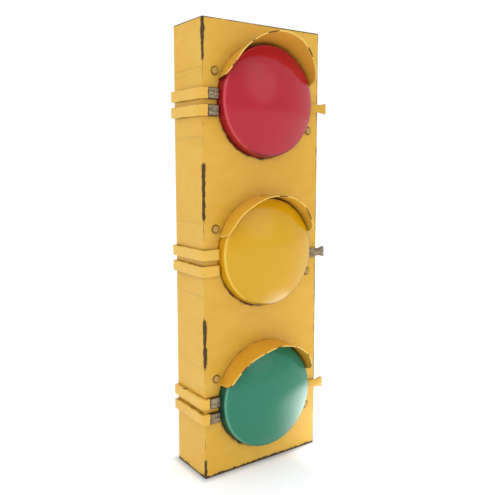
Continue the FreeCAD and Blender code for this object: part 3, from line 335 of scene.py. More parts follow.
def make_paint_group():
    """Brushed paint over steel: tone changes, chips to primer and bare metal, grime and painted
    shade.
    """
    inputs = {"Place": "vector", "Paint": "colour", "Pale": "colour"}
    inputs.update({"Wear": "number", "Grime and shade": "number", "Metal": "number"})
    outputs = {"Color": "colour", "Roughness": "number", "Metallic": "number", "Height": "number"}
    tree, source, sink = new_group("distressed_paint", inputs, outputs)
    place = source.outputs["Place"]
    broad = speckle(tree, place, 9.0, 4.0)
    streaks = speckle(tree, place, 26.0, 4.0, (1.0, 1.0, 2.6))
    fine = speckle(tree, place, 420.0, 2.0)
    ragged = speckle(tree, place, 95.0, 6.0)
    tone = scaled(tree, streaks, 0.45, times(tree, broad, 0.6))
    tone = soft_step(tree, tone, 0.30, 0.80)
    colour = tint(tree, tone, source.outputs["Paint"], source.outputs["Pale"])
    specks = times(tree, soft_step(tree, ragged, 0.66, 0.76), 0.35)
    colour = tint(tree, specks, colour, PAINT_BROWN_SPECK)
    # Grime and painted shade darken the paint; wear cuts through it along a ragged line.
    grime_and_shade = times(tree, source.outputs["Grime and shade"], plus(tree, ragged, 0.35))
    colour = tint(tree, lowest(tree, grime_and_shade, 0.9), colour, GRIME_AND_SHADE_TONE)
    jag = plus(tree, source.outputs["Wear"], times(tree, minus(tree, ragged, 0.5), 0.9))
    halo = soft_step(tree, jag, 0.26, 0.55)
    core = soft_step(tree, jag, 0.52, 0.66)
    colour = tint(tree, times(tree, halo, 0.7), colour, SCUFF_TONE)
    primer = tint(tree, fine, *PRIMER_TONES)
    upright = speckle(tree, place, WEAVE, 2.0, (1.0, 1.0, 0.12))
    level = speckle(tree, place, WEAVE, 2.0, (0.12, 0.12, 1.0))
    weave = highest(tree, upright, level)
    steel = tint(tree, soft_step(tree, weave, 0.48, 0.66), *STEEL_TONES)
    bare = times(tree, source.outputs["Metal"], soft_step(tree, streaks, 0.22, 0.42))
    colour = tint(tree, core, colour, tint(tree, bare, primer, steel))
    rough = scaled(tree, core, 0.22, scaled(tree, fine, 0.10, 0.30))
    rough = scaled(tree, grime_and_shade, 0.25, rough)
    metallic = times(tree, bare, core, 0.6)
    height = scaled(tree, streaks, 0.35, times(tree, fine, 0.12))
    height = minus(tree, height, times(tree, core, 0.5))
    results = {"Color": colour, "Roughness": rough, "Metallic": metallic, "Height": height}
    for label, value in results.items():
        tree.links.new(value, sink.inputs[label])
    return tree


def make_edge_group():
    """Distance from a point on a box's surface to the nearest edge of that box."""
    inputs = {"Place": "vector", "Low": "vector", "High": "vector"}
    tree, source, sink = new_group("box_edge", inputs, {"Distance": "number"})
    place = source.outputs["Place"]
    from_low = vector_math(tree, "SUBTRACT", place, source.outputs["Low"])["Vector"]
    from_high = vector_math(tree, "SUBTRACT", source.outputs["High"], place)["Vector"]
    nearest = vector_math(tree, "MINIMUM", from_low, from_high)["Vector"]
    parts = split(tree, nearest)
    smaller = lowest(tree, parts[0], parts[1])
    larger = highest(tree, parts[0], parts[1])
    distance = highest(tree, smaller, lowest(tree, larger, parts[2]))
    tree.links.new(distance, sink.inputs["Distance"])
    return tree


def make_grain_group():
    """Fine moulded or cast grain, with slow changes of tone."""
    tree, source, sink = new_group("grain", {"Place": "vector", "Scale": "number"},
                                   {"Tone": "number", "Height": "number"})
    place = source.outputs["Place"]
    fine = speckle(tree, place, source.outputs["Scale"], 3.0)
    slow = speckle(tree, place, times(tree, source.outputs["Scale"], 0.06), 2.0)
    tree.links.new(scaled(tree, slow, 0.7, times(tree, fine, 0.3)), sink.inputs["Tone"])
    tree.links.new(fine, sink.inputs["Height"])
    return tree


PAINT_GROUP = make_paint_group()
EDGE_GROUP = make_edge_group()
GRAIN_GROUP = make_grain_group()
YELLOW = (0.665, 0.365, 0.030, 1)
PALE_YELLOW = (0.71, 0.43, 0.060, 1)


def use_group(tree, group, inputs):
    return add(tree, "ShaderNodeGroup", inputs, node_tree=group).outputs


def bump(tree, shader, height, strength, distance):
    inputs = {"Height": height, "Strength": strength, "Distance": distance}
    tree.links.new(add(tree, "ShaderNodeBump", inputs).outputs[0], shader.inputs["Normal"])


def painted(name, wear, grime_and_shade=0.0, metal=0.0, paint=YELLOW, pale=PALE_YELLOW, dents=0.0):
    """Distressed paint; each input is a plain value or a function of the tree and place."""
    material, tree, shader, place = new_material(name)

    def value(one):
        return one(tree, place) if callable(one) else one

    # The grime input also carries painted shade.
    given = {"Paint": paint, "Pale": pale, "Wear": wear, "Grime and shade": grime_and_shade, "Metal": metal}
    inputs = {label: value(one) for label, one in given.items()}
    out = use_group(tree, PAINT_GROUP, {"Place": place, **inputs})
    sockets = {"Color": "Base Color", "Roughness": "Roughness", "Metallic": "Metallic"}
    for label, socket in sockets.items():
        tree.links.new(out[label], shader.inputs[socket])
    height = out["Height"]
    if dents:
        height = scaled(tree, speckle(tree, place, 11.0, 1.0), dents, height)
    bump(tree, shader, height, 0.35, 0.0006)
    shader.inputs["Specular IOR Level"].default_value = 0.28
    return material


def attribute(name):
    """Number read from a mesh attribute of the piece."""
    def read(tree, _):
        return add(tree, "ShaderNodeAttribute", attribute_name=name).outputs["Fac"]
    return read


# Stretches of the front left corner that are worn through, as shares of the height.
CORNER_WEAR = ((0.0, 0.035), (0.262, 0.355), (0.585, 0.69), (0.922, 1.0))
CORNER_WEAR_WIDTH = 0.0078
FADE_OUTSIDE, FADE_INSIDE = 0.03, 0.012   # how far a worn stretch fades past and before its end
EDGE_LINE = 0.0022           # thin dark line along the other edges
DOOR_EDGE_LINE = 0.002
STRAP_LINE = 0.0016          # reach of the painted contact shade along a strap's edges
SKIN_END, SKIN_FULL = 0.0011, 0.0008      # depths where the marks of an outer face stop
FACE_END, FACE_FULL = 0.0006, 0.0003      # the same for what lies on the front only
LOWER_LEFT = (-0.55, -0.84)  # direction across and up from a lens centre


def box_edge_line(tree, place, low, high, width):
    """1 close to the edges of a box."""
    distance = use_group(tree, EDGE_GROUP, {"Place": place, "Low": low, "High": high})["Distance"]
    return soft_step(tree, distance, width, 0.0002)


def corner_bands(tree, height_share):
    """1 along the worn stretches of the corner and 0 between them."""
    total = 0.0
    for low, high in CORNER_WEAR:
        rise = soft_step(tree, height_share, low - FADE_OUTSIDE, low + FADE_INSIDE)
        fall = soft_step(tree, height_share, high + FADE_OUTSIDE, high - FADE_INSIDE)
        total = plus(tree, times(tree, rise, fall), total)
    return total


def outer_skin(tree, parts):
    """1 on the outside of the front and the left side, 0 on the inner faces of the sheet."""
    depth = lowest(tree, minus(tree, parts[0], LEFT), minus(tree, parts[1], FRONT))
    return soft_step(tree, depth, SKIN_END, SKIN_FULL)


def on_front(tree, parts):
    """1 on the front face, 0 behind it."""
    return soft_step(tree, parts[1], FRONT + FACE_END, FRONT + FACE_FULL)


def housing_wear(tree, place):
    """Ragged wear on the front left corner, and broken dark lines along the other outer edges."""
    parts = split(tree, place)
    across = minus(tree, parts[0], LEFT)
    back = minus(tree, parts[1], FRONT)
    corner = highest(tree, across, back)
    height = minus(tree, parts[2], BASE)
    share = calc(tree, "DIVIDE", height, HEIGHT)
    blotch = speckle(tree, place, 26.0, 3.0)
    shred = speckle(tree, place, 150.0, 4.0)
    uneven = scaled(tree, shred, 1.3, times(tree, blotch, 1.5))
    width = times(tree, CORNER_WEAR_WIDTH, minus(tree, uneven, 0.5))
    near_corner = soft_step(tree, corner, width, 0.0)
    outer = outer_skin(tree, parts)
    patches = times(tree, near_corner, corner_bands(tree, share), outer, 1.15)
    broken = soft_step(tree, blotch, 0.36, 0.54)
    top = soft_step(tree, height, HEIGHT - 0.0030, HEIGHT - 0.0008)
    right_half = soft_step(tree, parts[0], -0.035, 0.0)
    on_side = soft_step(tree, across, 0.002, 0.0005)
    top = times(tree, top, highest(tree, right_half, on_side, 0.72))
    from_right = minus(tree, RIGHT, parts[0])
    inset = lowest(tree, across, from_right, back, minus(tree, REAR, parts[1]))
    at_rim = soft_step(tree, scaled(tree, shred, -0.002, inset), 0.0022, 0.0004)
    low = soft_step(tree, height, scaled(tree, shred, 0.015, 0.0012), 0.0)
    right = soft_step(tree, highest(tree, from_right, back), 0.0044, 0.0010)
    right = times(tree, right, scaled(tree, broken, 0.26, 0.46))
    line = times(tree, box_edge_line(tree, place, housing_low, housing_high, EDGE_LINE),
                 times(tree, broken, 0.5))
    outside, _, _, side = lens_polar(tree, parts)
    smudge = times(tree, soft_step(tree, outside, 0.0075, 0.0012), soft_step(tree, side, 0.45, 1.0),
                   on_front(tree, parts), scaled(tree, blotch, 1.1, 0.45), 0.66)
    top = times(tree, top, at_rim, 0.95)
    return highest(tree, patches, top, times(tree, low, at_rim), right, line, smudge)


def lens_polar(tree, parts):
    """Distance outside the nearest lens wall, offsets from its centre, and how far below left."""
    rise = minus(tree, calc(tree, "WRAP", parts[2], 0.0, SECTION), SECTION / 2)
    across = parts[0]
    radius = length_of(tree, rise, across)
    outside = minus(tree, radius, LENS_RADIUS)
    lower_left = plus(tree, times(tree, across, LOWER_LEFT[0]), times(tree, rise, LOWER_LEFT[1]))
    return outside, across, rise, calc(tree, "DIVIDE", lower_left, radius)


def housing_marks_and_shade(tree, place):
    """Dark rings round lenses and screws, painted shade by the visors and along the straps, drag
    marks.
    """
    parts = split(tree, place)
    outside, across, rise, _ = lens_polar(tree, parts)
    blotch = speckle(tree, place, 60.0, 4.0)
    total = times(tree, soft_step(tree, outside, 0.0026, 0.0008), 0.9)
    upper_left = minus(tree, times(tree, rise, 0.8), times(tree, across, 0.6))
    # Painted shade on the face beside the upper left of each lens, by its visor.
    shade = times(tree, soft_step(tree, upper_left, 0.02, 0.08),
                  soft_step(tree, outside, 0.024, 0.002), 0.17)
    total = highest(tree, total, shade)
    for angle in SCREW_ANGLES:
        turn = math.radians(angle)
        circle = LENS_RADIUS + SCREW_OFFSET
        from_x = minus(tree, across, circle * math.cos(turn))
        from_z = minus(tree, rise, circle * math.sin(turn))
        gap = length_of(tree, from_x, from_z)
        reach = scaled(tree, blotch, 0.0034, SCREW_HEAD_RADIUS + 0.0018)
        total = highest(tree, total, soft_step(tree, gap, reach, SCREW_HEAD_RADIUS + 0.0010))
    total = times(tree, total, on_front(tree, parts))
    for colour in COLOURS:
        for level in ("lower", "upper"):
            low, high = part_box("strap_" + colour + "_" + level)
            # Painted contact shade along the edges of each strap.
            near = times(tree, soft_step(tree, parts[2], low.z - STRAP_LINE, low.z),
                         soft_step(tree, parts[2], high.z + STRAP_LINE, high.z),
                         soft_step(tree, across, high.x + STRAP_LINE, high.x),
                         outer_skin(tree, parts), 0.6)
            total = highest(tree, total, near)
    drag = speckle(tree, place, 9.0, 3.0, (0.4, 0.4, 14.0))
    on_side = soft_step(tree, across, LEFT + 0.002, LEFT)
    return highest(tree, total, times(tree, soft_step(tree, drag, 0.58, 0.72), on_side, 0.13))


def plain_metal(name, colour, roughness, scale=500.0, depth=0.12, stretch=(1.0, 1.0, 14.0)):
    """Bare or plated metal with fine scratches and dull patches."""
    material, tree, shader, place = new_material(name)
    tone = use_group(tree, GRAIN_GROUP, {"Place": place, "Scale": scale})
    scratches = speckle(tree, place, scale * 0.5, 4.0, stretch)
    dark = opaque(part * 0.62 for part in colour)
    tree.links.new(tint(tree, tone["Tone"], dark, opaque(colour)), shader.inputs["Base Color"])
    tree.links.new(scaled(tree, scratches, 0.22, roughness), shader.inputs["Roughness"])
    shader.inputs["Metallic"].default_value = 1.0
    bump(tree, shader, plus(tree, scratches, tone["Height"]), depth, 0.0003)
    return material


def moulded(name, colour, roughness, scale=900.0, depth=0.1, coat=0.0):
    """Moulded plastic or rubber with fine grain and a little dust in it."""
    material, tree, shader, place = new_material(name)
    tone = use_group(tree, GRAIN_GROUP, {"Place": place, "Scale": scale})
    dark = opaque(part * 0.75 for part in colour)
    light = opaque(min(part * 1.2 + 0.012, 1) for part in colour)
    tree.links.new(tint(tree, tone["Tone"], dark, light), shader.inputs["Base Color"])
    tree.links.new(scaled(tree, tone["Tone"], 0.15, roughness), shader.inputs["Roughness"])
    bump(tree, shader, tone["Height"], depth, 0.0002)
    shader.inputs["Coat Weight"].default_value = coat
    return material


# Light and deep plastic of each lens.
LENS_TONES = {
    "red": ((0.43, 0.006, 0.020), (0.33, 0.002, 0.010)),
    "amber": ((0.64, 0.355, 0.002), (0.54, 0.27, 0.002)),
    "green": ((0.014, 0.20, 0.115), (0.009, 0.13, 0.07)),
}
# Painted shade of the side wall against the deep plastic, and tone of the painted rim highlight.
WALL_SHADE = {"red": 0.95, "amber": 1.15, "green": 0.6}
RIM_HIGHLIGHT_TONES = {"red": (0.66, 0.075, 0.10), "amber": (0.86, 0.60, 0.09), "green": (0.11, 0.42, 0.29)}

# Fresh and pale paint of each kind of piece.
VISOR_TONES = {
    "red": ((0.60, 0.29, 0.026, 1), (0.65, 0.34, 0.042, 1)),
    "amber": ((0.66, 0.35, 0.028, 1), (0.71, 0.40, 0.045, 1)),
    "green": ((0.63, 0.31, 0.022, 1), (0.68, 0.36, 0.035, 1)),
}
STRAP_TONES = (0.70, 0.40, 0.05, 1), (0.76, 0.47, 0.08, 1)
TAB_TONES = (0.60, 0.325, 0.025, 1), (0.65, 0.39, 0.05, 1)
SCREW_TONES = (0.60, 0.34, 0.06, 1), (0.66, 0.42, 0.12, 1)
# Tone of the painted highlight on the visors' front edges.
LIT_EDGE_TONE = (0.86, 0.60, 0.14, 1)


def lens_plastic(colour):
    """Glossy tinted plastic, with painted shade on its wall and lower right edge and a painted rim
    highlight.
    """
    material, tree, shader, place = new_material("lens_plastic_" + colour)
    light, deep = LENS_TONES[colour]
    parts = split(tree, place)
    rim_plane = FRONT - LENS_WALL
    wall = soft_step(tree, parts[1], rim_plane + 0.001, rim_plane + 0.004)
    cloud = speckle(tree, place, 22.0, 3.0)
    body = tint(tree, times(tree, cloud, 0.35), opaque(light), opaque(deep))
    # Painted shade: the side wall takes a deeper tone.
    body = tint(tree, wall, body, opaque(part * WALL_SHADE[colour] for part in deep))
    # Painted highlight: a pale band along the rounded rim.
    rim = times(tree, soft_step(tree, parts[1], rim_plane - 0.0018, rim_plane - 0.0002),
                soft_step(tree, parts[1], rim_plane + 0.0040, rim_plane + 0.0014), 0.6)
    body = tint(tree, rim, body, opaque(RIM_HIGHLIGHT_TONES[colour]))
    # Painted shade: a dark outline along the lower right of the lens edge.
    outside, across, rise, _ = lens_polar(tree, parts)
    lower_right = minus(tree, times(tree, across, 0.85), times(tree, rise, 0.5))
    outline = times(tree, soft_step(tree, outside, -LENS_TAPER - 0.0040, -LENS_TAPER - 0.0022),
                    soft_step(tree, lower_right, -0.02, 0.03),
                    soft_step(tree, parts[1], rim_plane + 0.006, rim_plane), 0.8)
    body = tint(tree, outline, body, opaque(part * 0.35 for part in deep))
    tree.links.new(body, shader.inputs["Base Color"])
    smear = speckle(tree, place, 45.0, 4.0, (1.0, 1.0, 0.35))
    dull = scaled(tree, wall, 0.28, 0.10)
    tree.links.new(scaled(tree, smear, 0.12, dull), shader.inputs["Roughness"])
    shader.inputs["Specular IOR Level"].default_value = 0.42
    bump(tree, shader, speckle(tree, place, 14.0, 1.0), 0.10, 0.002)
    return material


# ---- mesh building ----

def finish_piece(name, bm, material, replaces, body="housing"):
    """Turns a bmesh into a piece that rides on a body and stands for its CAD nodes."""
    mesh = bpy.data.meshes.new(name)
    bm.to_mesh(mesh)
    bm.free()
    piece = bpy.data.objects.new(name, mesh)
    bpy.context.scene.collection.objects.link(piece)
    mesh.materials.append(material)
    mesh.shade_smooth()
    mesh.set_sharp_from_angle(angle=SMOOTH_ANGLE)
    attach(piece, body)
    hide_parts(*replaces)


def arc(middle_x, middle_y, radius, start, end, steps):
    """Points of an arc in a plane, with both ends; angles in degrees."""
    points = []
    for step in range(steps + 1):
        turn = math.radians(start + (end - start) * step / steps)
        points.append((middle_x + radius * math.cos(turn), middle_y + radius * math.sin(turn)))
    return points


def make_lens(colour):
    """Spun cup with an inner flange, rounded rim and dome."""
    centre = lens_centre(colour)
    low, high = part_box("lens_" + colour)
    apex = FRONT - low.y
    back = FRONT - high.y
    outer_rim = LENS_RADIUS - LENS_TAPER

    def dome_profile(rim, rise, top, rounding):
        """Rounded rim and dome, from the wall to the axis."""
        sagitta = top - rise
        sphere = (rim ** 2 + sagitta ** 2) / (2 * sagitta)
        middle = top - sphere
        round_x = rim - rounding
        round_y = middle + math.sqrt((sphere - rounding) ** 2 - round_x ** 2)
        slope = math.degrees(math.atan2(round_y - middle, round_x))
        points = arc(round_x, round_y, rounding, 0, slope, LENS_RIM_STEPS)
        points += arc(0, middle, sphere, slope, 90, LENS_DOME_STEPS)[1:]
        points[-1] = (0.0, top)
        return points

    flange, flange_front = LENS_RADIUS + LENS_FLANGE, back + LENS_FLANGE_THICKNESS
    outer = [(flange, back), (flange, flange_front), (LENS_RADIUS, flange_front),
             (LENS_RADIUS - LENS_TAPER * LENS_WALL_RING, LENS_WALL * LENS_WALL_RING)]
    outer += dome_profile(outer_rim, LENS_WALL, apex, LENS_RIM_RADIUS)
    inner_rise = LENS_WALL - LENS_THICKNESS / 2
    inner = dome_profile(outer_rim - LENS_THICKNESS, inner_rise, apex - LENS_THICKNESS,
                         LENS_RIM_RADIUS / 2)
    inner = list(reversed(inner)) + [(LENS_RADIUS - LENS_THICKNESS, back)]
    bm = bmesh.new()
    for loop in (outer, inner + [outer[0]]):
        verts = [bm.verts.new((centre.x + out, FRONT - forward, centre.z)) for out, forward in loop]
        for first, second in zip(verts, verts[1:]):
            bm.edges.new((first, second))
    bmesh.ops.spin(bm, geom=bm.verts[:] + bm.edges[:], cent=(centre.x, 0, centre.z), axis=(0, 1, 0),
                   angle=math.tau, steps=LENS_STEPS, use_merge=True)
    bmesh.ops.remove_doubles(bm, verts=bm.verts[:], dist=WELD)
    bmesh.ops.recalc_face_normals(bm, faces=bm.faces[:])
    finish_piece("lens_dome_" + colour, bm, lens_plastic(colour),
                 replaces=["lens_" + colour])


def make_visor(colour):
    """Hand-bent sheet over a lens: a grid rolled to the lens and thickened, with its lower corners
    rounded.
    """
    centre = lens_centre(colour)
    tilt, low_reach, top_reach = VISORS[colour]
    slope = math.tan(math.radians(tilt))
    radius = LENS_RADIUS + VISOR_GAP + VISOR_SHEET / 2
    start, end = VISOR_ENDS

    def reach_at(rise):
        return low_reach + (top_reach - low_reach) * (rise - REACH_HEIGHT) / (radius - REACH_HEIGHT)

    def edge_reach(angle):
        """How far the sheet stands out at this angle, with its lower corners rounded."""
        rise = radius * math.sin(math.radians(angle))
        reach = reach_at(rise) / (1 - slope * (top_reach - low_reach) / (radius - REACH_HEIGHT))
        from_end = radius * math.radians(min(angle - start, end - angle))
        if from_end < VISOR_CORNER:
            reach -= VISOR_CORNER - math.sqrt(VISOR_CORNER ** 2 - (VISOR_CORNER - from_end) ** 2)
        return reach

    bm = bmesh.new()
    bmesh.ops.create_grid(bm, x_segments=VISOR_COLUMNS, y_segments=VISOR_ROWS, size=0.5)
    bm.verts.ensure_lookup_table()
    seed = Vector((COLOURS.index(colour) * 7.3, 1.7, 4.1))
    for vert in bm.verts:
        share = vert.co.x + 0.5
        share = share + 0.5 * math.sin(math.tau * share) / math.tau
        out = vert.co.y + 0.5
        angle = start + (end - start) * share
        turn = math.radians(angle)
        reach = edge_reach(angle) * out
        wave = noise.noise(seed + Vector((angle * RIPPLE_ROUND, out * RIPPLE_OUT, 0)))
        bent = radius + wave * VISOR_RIPPLE * out
        vert.co = (centre.x + bent * math.cos(turn), FRONT - reach,
                   centre.z + bent * math.sin(turn) + reach * slope)
    bmesh.ops.recalc_face_normals(bm, faces=bm.faces[:])
    bmesh.ops.solidify(bm, geom=bm.faces[:], thickness=VISOR_SHEET)
    for angle in TACKS[colour]:
        turn = math.radians(angle)
        circle = radius + VISOR_SHEET / 2 + TACK_OFFSET
        beside, above = circle * math.cos(turn), circle * math.sin(turn)
        spot = Vector((centre.x + beside, FRONT, centre.z + above))
        flattened = Matrix.Translation(spot) @ Matrix.Diagonal((1.0, TACK_FLATNESS, 1.0, 1.0))
        bmesh.ops.create_icosphere(bm, subdivisions=3, radius=TACK_RADIUS, matrix=flattened)
    wear = bm.verts.layers.float.new("wear")
    rim = bm.verts.layers.float.new("rim")
    for vert in bm.verts:
        local = vert.co - centre
        angle = math.degrees(math.atan2(local.z - (FRONT - vert.co.y) * slope, local.x))
        front_gap = edge_reach(min(max(angle, start + 0.5), end - 0.5)) - (FRONT - vert.co.y)
        end_gap = LENS_RADIUS * math.radians(min(angle - start, end - angle))
        gap = min(front_gap, end_gap)
        vert[wear] = max(0.0, 1.0 - gap / VISOR_WORN_EDGE)
        vert[rim] = max(0.0, 1.0 - gap / VISOR_LIT_EDGE)

    # Painted highlight: the visor's front edge is tinted lighter, as if lit.
    def rim_lit(base):
        return lambda tree, place: tint(tree, attribute("rim")(tree, place), base, LIT_EDGE_TONE)

    tones = [rim_lit(tone) for tone in VISOR_TONES[colour]]
    shade = painted("visor_paint_" + colour, broken_wear, visor_root_darkening, 0.0, *tones)
    finish_piece("visor_sheet_" + colour, bm, shade,
                 replaces=["visor_" + colour])


def broken_wear(tree, place):
    """The piece's own edge wear, broken into dashes."""
    wear = attribute("wear")(tree, place)
    return times(tree, wear, soft_step(tree, speckle(tree, place, 38.0, 2.0), 0.50, 0.60))


def visor_root_darkening(tree, place):
    # Darker along the visor's root, close to the housing face.
    parts = split(tree, place)
    near = soft_step(tree, parts[1], FRONT - 0.0022, FRONT - 0.0006)
    return times(tree, near, soft_step(tree, speckle(tree, place, 45.0, 2.0), 0.35, 0.6))


def make_strap(colour, level):
    """Flat bar from the lens edge, round the housing corner and along the side to the rear."""
    node = "strap_" + colour + "_" + level
    low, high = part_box(node)
    thick = LEFT - low.x
    bm = bmesh.new()
    corners = [(high.x, FRONT - thick, low.z), (high.x, FRONT, low.z), (high.x, FRONT, high.z),
               (high.x, FRONT - thick, high.z)]
    bm.faces.new([bm.verts.new(corner) for corner in corners])

    def grow(faces, move, steps):
        for _ in range(steps):
            made = bmesh.ops.extrude_face_region(bm, geom=faces)
            bmesh.ops.delete(bm, geom=faces, context="FACES_ONLY")
            moved = [item for item in made["geom"] if isinstance(item, bmesh.types.BMVert)]
            bmesh.ops.translate(bm, verts=moved, vec=Vector(move) / steps)
            faces = [item for item in made["geom"] if isinstance(item, bmesh.types.BMFace)]
        return faces

    first_face = bm.faces[:]
    bend_middle = Vector((LEFT + STRAP_BEND - thick, FRONT + STRAP_BEND - thick, 0))
    faces = grow(first_face, (bend_middle.x - high.x, 0, 0), STRAP_FRONT_STEPS)
    made = bmesh.ops.spin(bm, geom=faces, cent=bend_middle, axis=(0, 0, 1), angle=math.radians(-90),
                          steps=STRAP_BEND_STEPS)
    bmesh.ops.delete(bm, geom=faces, context="FACES_ONLY")
    faces = [item for item in made["geom_last"] if isinstance(item, bmesh.types.BMFace)]
    grow(faces, (0, high.y - bend_middle.y, 0), STRAP_SIDE_STEPS)
    cap = [bm.verts.new(corner) for corner in corners]
    bm.faces.new(cap)
    bmesh.ops.remove_doubles(bm, verts=bm.verts[:], dist=WELD)
    bmesh.ops.recalc_face_normals(bm, faces=bm.faces[:])
    sharp = [edge for edge in bm.edges if edge.is_manifold and edge.calc_face_angle() > FOLD_ANGLE]
    bmesh.ops.bevel(bm, geom=sharp, offset=STRAP_EDGE, offset_type="OFFSET", affect="EDGES",
                    segments=2, profile=0.5, material=-1)
    worn_from = RIGHT if colour == "amber" else LEFT + STRAP_BARE_FROM
    shade = plate_paint(node + "_paint", low, high, worn_from, STRAP_TONES)
    finish_piece(node + "_bar", bm, shade, replaces=[node])


def plate_paint(name, low, high, worn_from, tones):
    """Paint with thin dark edges; past worn_from it is rubbed to bare metal with a dark border."""
    def edges(tree, place):
        parts = split(tree, place)
        gap = lowest(tree, minus(tree, parts[2], low.z), minus(tree, high.z, parts[2]))
        inside = lowest(tree, minus(tree, parts[0], worn_from),
                      minus(tree, high.x, parts[0]))
        return parts, gap, inside

    def wear(tree, place):
        parts, gap, inside = edges(tree, place)
        ragged = scaled(tree, speckle(tree, place, 160.0, 3.0), 0.004, inside)
        worn = soft_step(tree, ragged, 0.0012, 0.0024)
        worn = times(tree, worn, soft_step(tree, parts[1], FRONT + 0.001, FRONT))
        rim = lowest(tree, gap, minus(tree, high.x, parts[0]))
        thin = times(tree, soft_step(tree, rim, 0.0012, 0.0003),
                    soft_step(tree, speckle(tree, place, 40.0, 2.0), 0.44, 0.56))
        return highest(tree, times(tree, worn, 1.1), times(tree, thin, 0.5))

    def metal(tree, place):
        _, gap, inside = edges(tree, place)
        nearest = lowest(tree, gap, inside)
        return soft_step(tree, nearest, 0.0006, 0.0016)

    return painted(name, wear, 0.0, metal, *tones)


def make_tab(colour):
    """Flat tab with a neck at the housing edge and a flared end."""
    node = "latch_tab_" + colour
    low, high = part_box(node)
    middle = (low.z + high.z) / 2
    half_end = (high.z - low.z) / 2
    upper = [(low.x, TAB_ROOT / 2), (RIGHT - TAB_NECK_LENGTH * 2, TAB_ROOT / 2 * TAB_ROOT_TAPER),
             (RIGHT - TAB_NECK_LENGTH, TAB_NECK / 2), (RIGHT + TAB_NECK_LENGTH, TAB_NECK / 2),
             (high.x - TAB_CORNER, half_end), (high.x, half_end - TAB_CORNER)]
    outline = upper + [(x, -half) for x, half in reversed(upper)]
    bm = bmesh.new()
    face = bm.faces.new([bm.verts.new((x, high.y, middle + rise)) for x, rise in outline])
    made = bmesh.ops.extrude_face_region(bm, geom=[face])
    moved = [item for item in made["geom"] if isinstance(item, bmesh.types.BMVert)]
    bmesh.ops.translate(bm, verts=moved, vec=(0, low.y - high.y, 0))
    bmesh.ops.recalc_face_normals(bm, faces=bm.faces[:])
    sharp = [edge for edge in bm.edges if edge.calc_face_angle() > FOLD_ANGLE]
    bmesh.ops.bevel(bm, geom=sharp, offset=TAB_EDGE, offset_type="OFFSET", affect="EDGES",
                    segments=2, profile=0.5, material=-1)
    bmesh.ops.triangulate(bm, faces=[item for item in bm.faces if len(item.verts) > 4])
    worn_from = low.x if colour == "amber" else RIGHT + TAB_REACH
    shade = plate_paint(node + "_paint", low, high, worn_from, TAB_TONES)
    finish_piece(node + "_plate", bm, shade, replaces=[node])


def make_screws():
    """Pan heads, with the thread behind each."""
    bm = bmesh.new()
    thread_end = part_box("lens_screws")[1].y - FRONT
    for colour in COLOURS:
        centre = lens_centre(colour)
        for angle in SCREW_ANGLES:
            turn = math.radians(angle)
            circle = LENS_RADIUS + SCREW_OFFSET
            beside, above = circle * math.cos(turn), circle * math.sin(turn)
            place = Vector((centre.x + beside, FRONT, centre.z + above))
            profile = [(0.0, thread_end), (SCREW_RADIUS, thread_end), (SCREW_RADIUS, 0.0),
                       (SCREW_HEAD_RADIUS, 0.0)]
            rounded = arc(SCREW_HEAD_RADIUS - SCREW_ROUNDING, SCREW_HEAD_HEIGHT - SCREW_ROUNDING,
                          SCREW_ROUNDING, 0, SCREW_ROUNDING_END, SCREW_ROUNDING_STEPS)
            profile += [(out, -forward) for out, forward in rounded]
            profile += [(SCREW_FLAT_RADIUS, -SCREW_HEAD_HEIGHT), (0.0, -SCREW_HEAD_HEIGHT)]
            verts = [bm.verts.new(place + Vector((radius, back, 0))) for radius, back in profile]
            edges = [bm.edges.new(pair) for pair in zip(verts, verts[1:])]
            bmesh.ops.spin(bm, geom=verts + edges, cent=place, axis=(0, 1, 0), angle=math.tau,
                           steps=SCREW_STEPS, use_merge=True)
    bmesh.ops.remove_doubles(bm, verts=bm.verts[:], dist=WELD)
    bmesh.ops.recalc_face_normals(bm, faces=bm.faces[:])
    shade = painted("screw_paint", 0.18, 0.35, 0.7, *SCREW_TONES)
    finish_piece("lens_screw_heads", bm, shade, replaces=["lens_screws"])


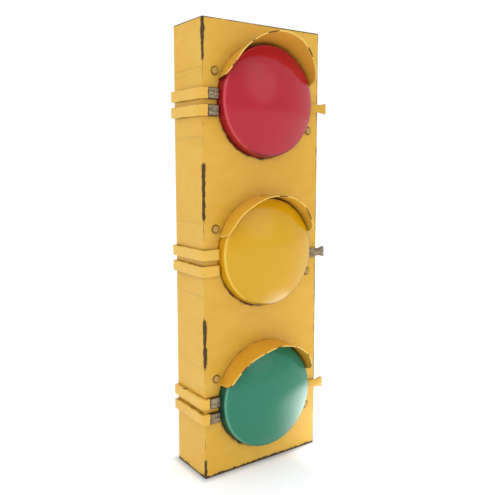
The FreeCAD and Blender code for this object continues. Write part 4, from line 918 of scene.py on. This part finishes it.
def dress_frame_nodes():
    """Gives every CAD node that stays in view its finish."""
    zinc = plain_metal("zinc_plate", (0.62, 0.60, 0.54), 0.30)
    steel = plain_metal("hinge_steel", (0.52, 0.49, 0.43), 0.34)
    cast = plain_metal("latch_casting", (0.62, 0.62, 0.62), 0.26, 800.0, 0.2)
    spun = plain_metal("spun_aluminium", (0.86, 0.86, 0.86), 0.14, 300.0, 0.08, (1.0, 30.0, 1.0))
    rubber = moulded("black_rubber", (0.022, 0.022, 0.022), 0.62)
    foam = moulded("seal_foam", (0.04, 0.04, 0.04), 0.8, 1500.0, 0.5)
    bakelite = moulded("holder_moulding", (0.03, 0.028, 0.026), 0.32, 700.0, 0.05, 0.2)
    cream = moulded("terminal_moulding", (0.70, 0.66, 0.55), 0.42)
    casing = moulded("unit_moulding", (0.045, 0.045, 0.05), 0.5, 1200.0, 0.35)
    switch = moulded("switch_moulding", (0.02, 0.02, 0.02), 0.28, 700.0, 0.05, 0.2)
    sheath = moulded("lead_sheath", (0.05, 0.05, 0.052), 0.45)
    bulb = moulded("opal_glass", (0.86, 0.85, 0.80), 0.12, 200.0, 0.02, 0.4)
    housing = painted("housing_paint", housing_wear, housing_marks_and_shade, 0.03, dents=3.0)
    door_low, door_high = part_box("rear_door")

    def door_wear(tree, place):
        return times(tree, box_edge_line(tree, place, door_low, door_high, DOOR_EDGE_LINE), 0.6)

    door = painted("door_paint", door_wear, 0.08, 0.2, dents=2.0)
    finishes = {
        "housing_paint": housing, "door_paint": door, "lens_rubber": rubber, "zinc_steel": zinc,
        "holder_plastic": bakelite, "reflector_aluminium": spun, "bulb_glass": bulb,
        "hinge_steel": steel, "lead_sheath": sheath, "block_plastic": cream, "unit_plastic": casing,
        "grommet_rubber": rubber, "switch_plastic": switch, "rocker_plastic": switch,
        "bumper_rubber": rubber, "gasket_foam": foam, "rivet_steel": zinc, "latch_zinc": cast,
    }
    for part in frame["record"]["subparts"]:
        finish = finishes.get(part["material_slot"])
        if finish:
            for place in frame["nodes"][part["node"]].material_slots:
                place.material = finish


for colour in COLOURS:
    make_lens(colour)
    make_visor(colour)
    make_tab(colour)
    for level in ("upper", "lower"):
        make_strap(colour, level)
make_screws()
dress_frame_nodes()
